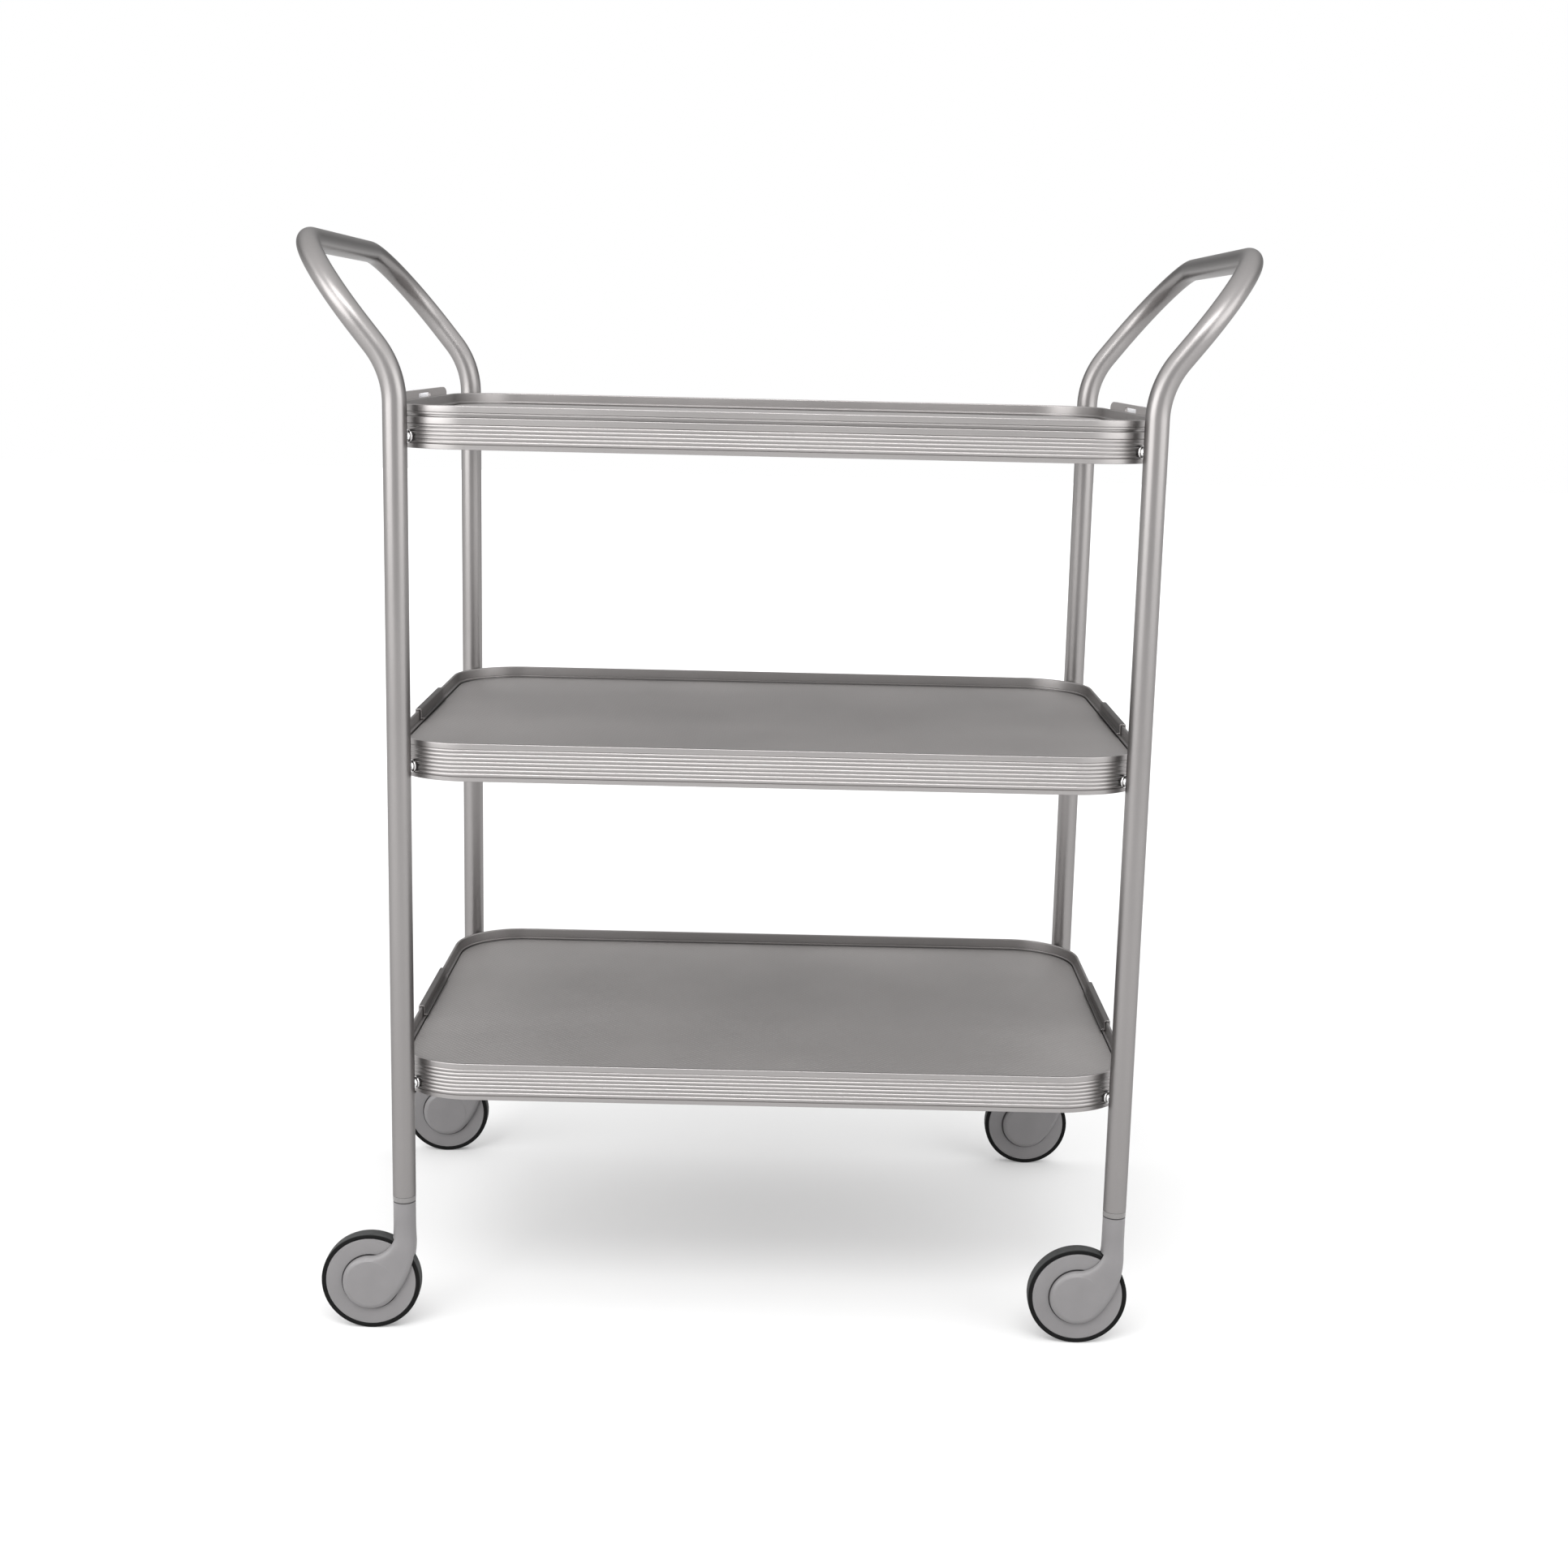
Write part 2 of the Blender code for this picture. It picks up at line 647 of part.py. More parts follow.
def caster_meshes():
    """Meshes shared by the four casters."""
    bore = AXLE_RADIUS + FIT_GAP
    wheel_profile = [(bore, -WHEEL_HALF_WIDTH), (WHEEL_DISC_RADIUS, -WHEEL_HALF_WIDTH),
                     (WHEEL_DISC_RADIUS, WHEEL_HALF_WIDTH), (bore, WHEEL_HALF_WIDTH)]
    seat = WHEEL_DISC_RADIUS + FIT_GAP
    tread = TYRE_HALF_WIDTH - TYRE_EDGE
    tyre_profile = [(seat, -TYRE_HALF_WIDTH), (WHEEL_RADIUS - TYRE_EDGE, -TYRE_HALF_WIDTH),
                    (WHEEL_RADIUS, -tread), (WHEEL_RADIUS, tread),
                    (WHEEL_RADIUS - TYRE_EDGE, TYRE_HALF_WIDTH), (seat, TYRE_HALF_WIDTH)]
    axle_profile = [(AXLE_RADIUS, -AXLE_HALF_LENGTH), (AXLE_RADIUS, AXLE_HALF_LENGTH)]
    socket_profile = [(SOCKET_BORE, SOCKET_FLANGE_Z), (TUBE_RADIUS, SOCKET_FLANGE_Z),
                      (TUBE_RADIUS, LEG_FOOT_Z - FIT_GAP),
                      (SOCKET_PLUG_RADIUS, LEG_FOOT_Z - FIT_GAP),
                      (SOCKET_PLUG_RADIUS, SOCKET_TOP_Z), (SOCKET_BORE, SOCKET_TOP_Z)]
    return {"fork": fork_mesh(),
            "wheel": turned("caster_wheel", wheel_profile, WHEEL_SIDES, capped=False),
            "tyre": turned("caster_tyre", tyre_profile, WHEEL_SIDES, capped=False),
            "axle": turned("caster_axle", axle_profile, AXLE_SIDES),
            "socket": turned("caster_socket", socket_profile, TUBE_SIDES, capped=False)}


def build_casters(materials):
    meshes = caster_meshes()
    across = (math.pi / 2, 0, 0)
    for end_name, end in ENDS.items():
        for side_name, side in SIDES.items():
            where = end_name + "_" + side_name
            foot = (side * LEG_X, end * LEG_Y, 0)
            place("caster_socket_" + where, meshes["socket"], materials["collar"], foot)
            swivel = pivot("caster_swivel_" + where, foot)
            place("caster_fork_" + where, meshes["fork"], materials["nylon"], parent=swivel)
            hub = pivot("wheel_axis_" + where, (-TRAIL, 0, WHEEL_RADIUS), swivel)
            for part, finish in (("axle", "steel"), ("wheel", "nylon"), ("tyre", "rubber")):
                place("caster_" + part + "_" + where, meshes[part], materials[finish],
                      rotation=across, parent=hub)


# Assembly

def build_side_frames(materials):
    heights = [LOWER_RIM_Z + BOLT_HEIGHT, MIDDLE_RIM_Z + BOLT_HEIGHT, HOOP_Z + BOLT_HEIGHT]
    for side_name, side in SIDES.items():
        name = "side_frame_" + side_name
        frame = place(name, side_frame_mesh(name, side), materials["aluminium"])
        corners = [(side, end) for end in ENDS.values()]
        boolean(frame, bolt_holes("holes_" + name, corners, heights), "DIFFERENCE")


def build_rims(materials):
    tiers = {"lower_tray_rim": (tray_rim_profile(LOWER_RIM_Z), LOWER_RIM_Z),
             "middle_tray_rim": (tray_rim_profile(MIDDLE_RIM_Z), MIDDLE_RIM_Z),
             "top_hoop": (hoop_profile(), HOOP_Z)}
    for tier, (profile, foot_z) in tiers.items():
        for end_name, end in ENDS.items():
            name = tier + "_" + end_name
            rim = place(name, swept_rim(name, profile, end), materials["aluminium"])
            corners = [(side, end) for side in SIDES.values()]
            holes = bolt_holes("holes_" + name, corners, [foot_z + BOLT_HEIGHT])
            boolean(rim, holes, "DIFFERENCE")


def build_fixed_trays(materials):
    panel = panel_mesh("tray_panel")
    clip = clip_mesh("joint_clip")
    for tier, foot_z in (("lower", LOWER_RIM_Z), ("middle", MIDDLE_RIM_Z)):
        top = foot_z + RIM_HEIGHT
        place(tier + "_tray_panel", panel, materials["panel"], (0, 0, top - PANEL_DROP))
        for side_name, side in SIDES.items():
            turn = (0, 0, 0 if side > 0 else math.pi)
            place(tier + "_joint_clip_" + side_name, clip, materials["clip"],
                  (side * TRAY_HALF_X, 0, top), turn)


def build_serving_tray(materials):
    profile = serving_rim_profile()
    for end_name, end in ENDS.items():
        name = "serving_tray_rim_" + end_name
        place(name, swept_rim(name, profile, end), materials["aluminium"])
    place("serving_tray_panel", panel_mesh("serving_panel"), materials["panel"],
          (0, 0, SERVING_TOP_Z - PANEL_DROP))
    plate = handle_plate_mesh("handle_plate")
    elbow = elbow_mesh("grip_elbow")
    grip_profile = [(GRIP_BORE, -GRIP_HALF_LENGTH), (GRIP_RADIUS, -GRIP_HALF_LENGTH),
                    (GRIP_RADIUS, GRIP_HALF_LENGTH), (GRIP_BORE, GRIP_HALF_LENGTH)]
    grip = turned("grip_bar", grip_profile, GRIP_SIDES, capped=False)
    for side_name, side in SIDES.items():
        turn = (0, 0, 0 if side > 0 else math.pi)
        face_x = side * (TRAY_HALF_X + FIT_GAP)
        place("handle_plate_" + side_name, plate, materials["clip"], (face_x, 0, 0), turn)
        place("handle_grip_" + side_name, grip, materials["satin"],
              (side * GRIP_X, 0, GRIP_Z), (math.pi / 2, 0, 0))
        for end_name, end in ENDS.items():
            foot_x = side * (TRAY_HALF_X + 2 * FIT_GAP + PLATE_THICKNESS)
            flip = math.pi if side * end < 0 else 0.0
            spin = 0.0 if side > 0 else math.pi
            place("grip_elbow_" + end_name + "_" + side_name, elbow, materials["elbow"],
                  (foot_x, end * ELBOW_Y, GRIP_Z), (flip, 0, spin))


def build_bolts(materials):
    bolt = bolt_mesh("tray_bolt")
    centre, _ = corner_axis()
    tiers = {"lower": LOWER_RIM_Z, "middle": MIDDLE_RIM_Z, "top": HOOP_Z}
    for tier, foot_z in tiers.items():
        for end_name, end in ENDS.items():
            for side_name, side in SIDES.items():
                name = "tray_bolt_" + tier + "_" + end_name + "_" + side_name
                location = (side * centre.x, end * centre.y, foot_z + BOLT_HEIGHT)
                place(name, bolt, materials["chrome"], location, bolt_heading(side, end))


def main():
    clear_objects()
    materials = {
        "aluminium": make_material("satin_aluminium", (0.62, 0.60, 0.58), 0.35, 1.0),
        "panel": make_material("embossed_aluminium", (0.46, 0.44, 0.43), 0.42, 1.0),
        "clip": make_material("sheet_aluminium", (0.52, 0.51, 0.50), 0.38, 1.0),
        "satin": make_material("satin_grip", (0.60, 0.60, 0.60), 0.30, 1.0),
        "elbow": make_material("light_nylon", (0.62, 0.62, 0.62), 0.50, 0.0),
        "chrome": make_material("bright_steel", (0.75, 0.75, 0.75), 0.12, 1.0),
        "steel": make_material("axle_steel", (0.50, 0.50, 0.50), 0.30, 1.0),
        "collar": make_material("grey_collar", (0.42, 0.40, 0.40), 0.45, 0.0),
        "nylon": make_material("grey_nylon", (0.32, 0.31, 0.31), 0.48, 0.0),
        "rubber": make_material("black_rubber", (0.02, 0.02, 0.02), 0.60, 0.0),
    }
    build_side_frames(materials)
    build_rims(materials)
    build_fixed_trays(materials)
    build_serving_tray(materials)
    build_bolts(materials)
    build_casters(materials)


main()
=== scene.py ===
"""Looks of the bar cart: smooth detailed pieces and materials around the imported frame.

The rest are named here, in metres. +X is the cart's length, -Y its near long side, +Z
up, the floor at Z = 0.
"""

import math

import bmesh
import bpy
import numpy as np
from mathutils import Matrix, Vector, geometry


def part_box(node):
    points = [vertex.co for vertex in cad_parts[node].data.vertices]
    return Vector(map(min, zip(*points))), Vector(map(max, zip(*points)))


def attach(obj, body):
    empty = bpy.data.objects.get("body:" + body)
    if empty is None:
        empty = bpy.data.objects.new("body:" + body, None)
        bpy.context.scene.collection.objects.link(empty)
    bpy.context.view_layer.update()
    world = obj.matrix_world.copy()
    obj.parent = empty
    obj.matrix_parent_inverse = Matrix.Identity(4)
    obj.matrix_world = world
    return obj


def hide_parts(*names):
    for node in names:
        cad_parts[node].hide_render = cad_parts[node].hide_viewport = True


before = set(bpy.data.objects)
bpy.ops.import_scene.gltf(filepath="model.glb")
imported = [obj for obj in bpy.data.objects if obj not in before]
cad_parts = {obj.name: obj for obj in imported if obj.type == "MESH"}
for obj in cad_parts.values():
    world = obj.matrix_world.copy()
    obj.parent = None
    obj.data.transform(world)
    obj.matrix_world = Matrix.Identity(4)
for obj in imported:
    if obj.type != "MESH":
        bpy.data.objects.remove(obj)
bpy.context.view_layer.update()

SIDES = {"left": -1, "right": 1}
ENDS = {"front": -1, "back": 1}
FIT_GAP = 0.0003
ARC_STEP = math.radians(12)
SMOOTH_LIMIT = math.radians(32)


def middle(node):
    low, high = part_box(node)
    return (low + high) / 2


# Sizes read from the frame
LEG_X, LEG_Y, _ = middle("caster_socket_back_right")
LEG_FOOT_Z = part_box("side_frame_right")[0].z
COLLAR_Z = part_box("caster_socket_back_right")[0].z
SOCKET_TOP_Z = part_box("caster_socket_back_right")[1].z
TUBE_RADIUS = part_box("caster_socket_back_right")[1].x - LEG_X
TRAY_HALF_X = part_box("lower_tray_rim_back")[1].x
TRAY_HALF_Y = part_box("lower_tray_rim_back")[1].y
WHEEL_X, _, WHEEL_Z = middle("caster_wheel_back_right")
WHEEL_DISC_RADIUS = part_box("caster_wheel_back_right")[1].x - WHEEL_X
WHEEL_HALF_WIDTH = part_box("caster_wheel_back_right")[1].y - LEG_Y
TYRE_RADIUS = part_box("caster_tyre_back_right")[1].x - WHEEL_X
TYRE_HALF_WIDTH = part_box("caster_tyre_back_right")[1].y - LEG_Y
TRAIL = LEG_X - WHEEL_X
CHEEK_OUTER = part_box("caster_fork_back_right")[1].y - LEG_Y
PIN_TOP_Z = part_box("caster_fork_back_right")[1].z
PLATE_LOW, PLATE_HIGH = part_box("handle_plate_right")
GRIP_X, _, GRIP_Z = middle("handle_grip_right")
GRIP_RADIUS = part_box("handle_grip_right")[1].z - GRIP_Z
GRIP_HALF_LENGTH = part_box("handle_grip_right")[1].y
ELBOW_FOOT_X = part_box("grip_elbow_back_right")[0].x
ELBOW_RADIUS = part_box("grip_elbow_back_right")[1].z - GRIP_Z
ELBOW_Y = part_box("grip_elbow_back_right")[1].y - ELBOW_RADIUS

# Side frame tube
TUBE_WALL = 0.0015
HANDLE_BEND_Z = 0.7643
HANDLE_TILT = math.radians(38.4)
HANDLE_BEND_RADIUS = 0.073
HANDLE_STRAIGHT = 0.0165
HANDLE_CORNER_RADIUS = 0.086
TUBE_SIDES = 48
TILT_STEPS = 14
CORNER_STEPS = 32

# Rims
TRAY_CORNER = 0.063
RIM_CORNER_STEPS = 28
RIM_WALL = 0.0024
SHEET = 0.0016
RIB_DEPTH = 0.0006
RIB_GROOVE = 0.00036
RIB_STEPS = 8
TRAY_BANDS = (0.0036, 0.0049, 7)
HOOP_BANDS = (0.0039, 0.0055, 5)
FOOT_LIP = 0.0070
BEAD_INSET = 0.0050
BEAD_DROP = 0.0080
BEAD_HEIGHT = 0.0015
FLANGE_INSET = 0.0150
LEDGE_INSET = 0.0120
LEDGE_DROP = 0.0091
SERVING_BEAD = 0.0019
SPIGOT_OUTER = 0.0029
SPIGOT_INNER = 0.0046
EDGE_ROUND = 0.0003
LIP_ROUND = 0.0009

# Floor panels
PANEL_INSET = 0.0055
PANEL_EDGE = 0.0004

# Clips, plates, grips and elbows
CLIP_SHEET = 0.0012
CLIP_SKIRT = 0.0046
CLIP_FOOT_DROP = 0.0077
CLIP_FOOT_INSET = 0.0064
PLATE_CROWN_LENGTH = 0.022
PLATE_CROWN_DROP = 0.0055
WINDOW_HALF_LENGTH = 0.030
WINDOW_FOOT_Z = 0.7642
WINDOW_TOP_Z = 0.7680
WINDOW_CORNER = 0.0014
PLATE_MARGIN = 0.001
GRIP_BORE = 0.0034
ELBOW_BEND = 0.010
ELBOW_SPIGOT_RADIUS = 0.0031
ELBOW_SPIGOT_LENGTH = 0.0070
ELBOW_WAIST = 0.10
ELBOW_LIP = 0.0006
ELBOW_STEPS = 14
ELBOW_SIDES = 28
GRIP_ROUND = 0.0004
GRIP_SIDES = 40
PLATE_STEPS = 18
PLATE_BEVEL = 0.0006
CLIP_BEVEL = 0.00018

# Bolts, measured along the line from a tray corner's centre to its leg
BOLT_HEIGHT = 0.009
BOLT_RADIUS = 0.0025
BOLT_HEAD_RADIUS = 0.0045
BOLT_HEAD_HEIGHT = 0.0026
BOLT_CUP_RADIUS = 0.0052
BOLT_SEAL = 0.0009
BOLT_NUT_RADIUS = 0.0038
BOLT_NUT_LENGTH = 0.0030
BOLT_DIMPLE = 0.0006
BOLT_DOME_SHARE = 0.55
BOLT_DOME_HEIGHT = 0.0013
BOLT_DOME_ROUND = 0.0006
BOLT_SEAL_SHARE = 0.93
BOLT_CUP_EDGE = 0.0013
BOLT_CUP_HEIGHT = 0.0021
BOLT_CUP_SHARE = 0.72
BOLT_NECK_SHARE = 0.66
BOLT_SIDES = 36

# Casters
STEM_RADIUS = 0.0093
STEM_TOP_Z = 0.1113
PIN_RADIUS = 0.0055
PIN_ROOT = 0.002
PIN_SIDES = 48
SLOT_SIDES = 128
HUB_RADIUS = 0.0233
HUB_FACE_RADIUS = 0.0199
HUB_FACE_RISE = 0.00022
CHEEK_EDGE = 0.0075
CHEEK_ROUND = 0.0036
CHEEK_FRONT_Z = 0.078
BLEND_LOW_Z = 0.054
BLEND_HIGH_Z = 0.093
SLOT_RADIUS = 0.0430
SLOT_HALF_WIDTH = 0.0068
SHOULDER_SHARE = 0.80
SURFACE_STEP = 0.0009
GRID_CLEARANCE = 0.6
STEP_CLEARANCE = 0.9
HUB_CLEARANCE = 0.0004
TOP_ROW_START = 0.0042
TOP_ROW_END = 0.0040
THINNEST = 0.00002
EDGE_RINGS = (0.0, 0.00003, 0.00012, 0.0003, 0.0006, 0.00105, 0.00165, 0.0024, 0.0033)
WHEEL_SIDES = 96
DISH_RADIUS = 0.0242
DISH_HALF_WIDTH = 0.0026
SEAT_RIB = 0.0006
SEAT_HALF_WIDTH = 0.0040
DISH_ROUND = 0.0002
RIM_ROUND = 0.0007
TYRE_INNER_ROUND = 0.0004
TREAD_CROWN = 0.0002
TREAD_ROUND = 0.0011
AXLE_RADIUS = 0.0030

# Colours and the floor panels' emboss
WARM_SILVER = (0.262, 0.251, 0.248)
LIGHT_NYLON = (0.50, 0.50, 0.51)
GREY_NYLON = (0.152, 0.147, 0.149)
COLLAR_GREY = (0.150, 0.145, 0.143)
SEAL_BLACK = (0.012, 0.012, 0.012)
# The tyre's tread grey is painted light from above, and its near-black side ring colour below is painted
# shade.
TREAD_PAINTED_LIGHT = (0.050, 0.051, 0.051)
SIDE_RING_PAINTED_SHADE = (0.0035, 0.0035, 0.0035)
CHROME = (0.78, 0.78, 0.78)
AXLE_STEEL = (0.50, 0.50, 0.50)
DASH_PITCH = 0.0046
DASH_ROW = 0.0027
DASH_HALF_LENGTH = 0.0015
DASH_HALF_WIDTH = 0.0007
DASH_RELIEF = 0.0003
PANEL_METAL = 0.60

# Stage, room and camera
FLOOR_HALF = 12.0
FLOOR_DARK = (0.56, 0.56, 0.56)
FLOOR_LIGHT = (0.58, 0.58, 0.58)
FLOOR_GLOW_NEAR = 0.17
FLOOR_GLOW_FAR = 0.45
ROOM_TONES = ((0.0, 0.85), (0.09, 0.62), (0.2, 0.38), (0.36, 0.80), (0.6, 1.55), (1.0, 1.6))
BACK_SHARE = 0.75
FRONT_SHARE = 1.25
SIDE_START = 0.70
SIDE_GAIN = 1.0
SENSOR_WIDTH = 36.0
CAMERA_LENS = 50.39
CAMERA_PLACE = (0.01109, -1.92643, 0.81568)
CAMERA_YAW = 0.00088
CAMERA_PITCH = 0.19763
CAMERA_ROLL = -0.02232
LEFT_BOX = ((-1.95, -1.6, 1.2), (-0.1, 0, 0.8), 40, 2.3, 1.3)
RIGHT_BOX = ((2.05, -1.4, 1.2), (0.1, 0, 0.8), 26, 2.3, 1.3)
FRONT_BOX = ((-0.2, -2.2, 2.8), (0, 0, 0.4), 48, 2.4, 1.0)


# Mesh helpers

def piece_from(name, shape, material):
    """An object from a bmesh, shaded smooth up to the sharp limit."""
    bmesh.ops.recalc_face_normals(shape, faces=shape.faces)
    mesh = bpy.data.meshes.new(name)
    shape.to_mesh(mesh)
    shape.free()
    return placed(name, mesh, material)


def placed(name, mesh, material, matrix=None):
    mesh.shade_smooth()
    mesh.set_sharp_from_angle(angle=SMOOTH_LIMIT)
    piece = bpy.data.objects.new(name, mesh)
    bpy.context.collection.objects.link(piece)
    if material and not mesh.materials:
        mesh.materials.append(material)
    if matrix is not None:
        piece.matrix_world = matrix
    return piece


def distances(points, close=False):
    """Running length along a list of points."""
    run = [0.0]
    for index in range(1, len(points) + (1 if close else 0)):
        run.append(run[-1] + (Vector(points[index % len(points)]) - Vector(points[index - 1])).length)
    return run


def lofted(rings, close_path=False, caps=True):
    """A bmesh skin between equal closed rings, with UVs in metres along and around."""
    shape = bmesh.new()
    layer = shape.loops.layers.uv.new("metres")
    count = len(rings[0])
    corners = [[shape.verts.new(point) for point in ring] for ring in rings]
    along = distances([ring[0] for ring in rings], close_path)
    around = distances(rings[0], True)
    for span in range(len(rings) if close_path else len(rings) - 1):
        here, there = corners[span], corners[(span + 1) % len(rings)]
        for index in range(count):
            after = (index + 1) % count
            face = shape.faces.new((here[index], here[after], there[after], there[index]))
            places = ((along[span], around[index]), (along[span], around[index + 1]),
                      (along[span + 1], around[index + 1]), (along[span + 1], around[index]))
            for loop, place in zip(face.loops, places):
                loop[layer].uv = place
    if caps and not close_path:
        shape.faces.new(corners[0])
        shape.faces.new(corners[-1])
    return shape


def rounded(corners):
    """Closed outline from (a, b, radius) corners, with an arc where the radius isn't zero."""
    outline = []
    for index, (a, b, radius) in enumerate(corners):
        here = Vector((a, b))
        if not radius:
            outline.append((a, b))
            continue
        back = (Vector(corners[index - 1][:2]) - here).normalized()
        ahead = (Vector(corners[(index + 1) % len(corners)][:2]) - here).normalized()
        half = back.angle(ahead) / 2
        centre = here + (back + ahead).normalized() * (radius / math.sin(half))
        start = here + back * (radius / math.tan(half)) - centre
        end = here + ahead * (radius / math.tan(half)) - centre
        first = math.atan2(start.y, start.x)
        turn = (math.atan2(end.y, end.x) - first + math.pi) % math.tau - math.pi
        steps = max(2, math.ceil(abs(turn) / ARC_STEP))
        for step in range(steps + 1):
            angle = first + turn * step / steps
            outline.append((centre.x + radius * math.cos(angle),
                            centre.y + radius * math.sin(angle)))
    return outline


def combined(blank, helpers):
    """The blank's mesh after boolean operations with (piece, operation) helpers."""
    for helper, operation in helpers:
        modifier = blank.modifiers.new(helper.name, "BOOLEAN")
        modifier.operation = operation
        modifier.solver = "EXACT"
        modifier.object = helper
    bpy.context.view_layer.update()
    graph = bpy.context.evaluated_depsgraph_get()
    mesh = bpy.data.meshes.new_from_object(blank.evaluated_get(graph))
    mesh.materials.clear()
    for old in [blank] + [helper for helper, _ in helpers]:
        bpy.data.objects.remove(old, do_unlink=True)
    return mesh


def turned(profile, sides):
    """A bmesh ring turned about local Z from a closed (radius, height) profile."""
    rings = []
    for step in range(sides):
        angle = math.tau * step / sides
        rings.append([(radius * math.cos(angle), radius * math.sin(angle), height)
                      for radius, height in profile])
    return lofted(rings, close_path=True)


def dress(piece, body, slot, *nodes):
    """Ride and the CAD nodes that a piece stands for; the slot argument is not used."""
    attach(piece, body)
    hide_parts(*nodes)
    return piece


# Material helpers

class Nodes:
    """A small builder for one material's node tree."""

    def __init__(self, name):
        self.material = bpy.data.materials.new(name)
        self.material.use_nodes = True
        self.tree = self.material.node_tree
        self.shader = self.tree.nodes["Principled BSDF"]
        self.where = self.tree.nodes.new("ShaderNodeTexCoord")

    def add(self, kind, **settings):
        node = self.tree.nodes.new("ShaderNode" + kind)
        for key, value in settings.items():
            setattr(node, key, value)
        return node

    def link(self, source, target):
        self.tree.links.new(source, target)

    def math(self, operation, first, second=None, third=None):
        node = self.add("Math", operation=operation)
        for index, value in enumerate((first, second, third)):
            if value is None:
                continue
            if isinstance(value, (int, float)):
                node.inputs[index].default_value = value
            else:
                self.link(value, node.inputs[index])
        return node.outputs[0]

    def noise(self, space, scale, detail=3.0, stretch=(1, 1, 1)):
        """Noise over Object or UV metres; scale is in features per metre."""
        mapping = self.add("Mapping")
        mapping.inputs["Scale"].default_value = stretch
        self.link(self.where.outputs[space], mapping.inputs["Vector"])
        noise = self.add("TexNoise")
        noise.inputs["Scale"].default_value = scale
        noise.inputs["Detail"].default_value = detail
        self.link(mapping.outputs[0], noise.inputs["Vector"])
        return noise.outputs["Fac"]

    def ranged(self, value, low, high, start=0.3, end=0.7):
        node = self.add("MapRange")
        node.inputs["From Min"].default_value = start
        node.inputs["From Max"].default_value = end
        node.inputs["To Min"].default_value = low
        node.inputs["To Max"].default_value = high
        self.link(value, node.inputs["Value"])
        return node.outputs[0]

    def colours(self, value, dark, light):
        node = self.add("MixRGB")
        node.inputs["Color1"].default_value = (*dark, 1.0)
        node.inputs["Color2"].default_value = (*light, 1.0)
        self.link(value, node.inputs["Fac"])
        self.link(node.outputs[0], self.shader.inputs["Base Color"])

    def bump(self, height, distance, strength=1.0, before=None):
        node = self.add("Bump")
        node.inputs["Strength"].default_value = strength
        node.inputs["Distance"].default_value = distance
        self.link(height, node.inputs["Height"])
        if before is not None:
            self.link(before, node.inputs["Normal"])
        self.link(node.outputs[0], self.shader.inputs["Normal"])
        return node.outputs[0]


def scaled(colour, factor):
    return tuple(channel * factor for channel in colour)


def anodised(name, colour, roughness, edge=0.55, drawn=0.0, grain=0.000002):
    """Satin anodised aluminium: cloudy tone, blasted grain, and drawing lines along U."""
    nodes = Nodes(name)
    nodes.shader.inputs["Metallic"].default_value = 1.0
    nodes.shader.inputs["Specular Tint"].default_value = (edge, edge, edge, 1.0)
    cloud = nodes.noise("Object", 9.0, 4.0)
    speck = nodes.noise("Object", 1500.0, 2.0)
    lines = nodes.noise("UV", 1.0, 1.0, (0.9, 2400.0, 1.0))
    mixed = nodes.math("MULTIPLY_ADD", speck, 0.35, nodes.math("MULTIPLY", cloud, 0.65))
    nodes.colours(nodes.ranged(mixed, 0.0, 1.0), scaled(colour, 0.96), scaled(colour, 1.04))
    nodes.link(nodes.ranged(mixed, roughness - 0.03, roughness + 0.04),
               nodes.shader.inputs["Roughness"])
    blasted = nodes.bump(speck, grain)
    if drawn:
        nodes.bump(lines, drawn, before=blasted)
    return nodes.material


def embossed(name, colour, roughness, edge=0.55):
    """Anodised sheet with staggered raised dashes, coloured lighter on the dashes as a painted highlight.
    """
    nodes = Nodes(name)
    nodes.shader.inputs["Metallic"].default_value = PANEL_METAL
    nodes.shader.inputs["Specular Tint"].default_value = (edge, edge, edge, 1.0)
    split = nodes.add("SeparateXYZ")
    nodes.link(nodes.where.outputs["Object"], split.inputs[0])
    rows = nodes.math("DIVIDE", split.outputs["Y"], DASH_ROW)
    shift = nodes.math("MULTIPLY", nodes.math("FLOORED_MODULO", nodes.math("FLOOR", rows), 2.0), 0.5)
    columns = nodes.math("ADD", nodes.math("DIVIDE", split.outputs["X"], DASH_PITCH), shift)
    across = nodes.math("SUBTRACT", nodes.math("FRACT", columns), 0.5)
    along = nodes.math("SUBTRACT", nodes.math("FRACT", rows), 0.5)
    across = nodes.math("MULTIPLY", across, DASH_PITCH / DASH_HALF_LENGTH)
    along = nodes.math("MULTIPLY", along, DASH_ROW / DASH_HALF_WIDTH)
    reach = nodes.math("ADD", nodes.math("POWER", across, 2.0), nodes.math("POWER", along, 2.0))
    dash_and_painted_highlight = nodes.ranged(reach, 1.0, 0.0, 0.15, 1.0)
    cloud = nodes.noise("Object", 7.0, 3.0)
    speck = nodes.noise("Object", 1800.0, 2.0)
    # Painted highlight: the raised dashes are coloured lighter, as if catching light on their tops; the
    # cloud is random tone.
    tone = nodes.math("ADD", nodes.math("MULTIPLY", dash_and_painted_highlight, 0.45),
                      nodes.math("MULTIPLY", nodes.ranged(cloud, 0.0, 1.0), 0.5))
    nodes.colours(tone, scaled(colour, 0.90), scaled(colour, 1.12))
    nodes.link(nodes.ranged(cloud, roughness - 0.03, roughness + 0.05),
               nodes.shader.inputs["Roughness"])
    grain = nodes.bump(speck, 0.000008)
    nodes.bump(dash_and_painted_highlight, DASH_RELIEF, before=grain)
    return nodes.material


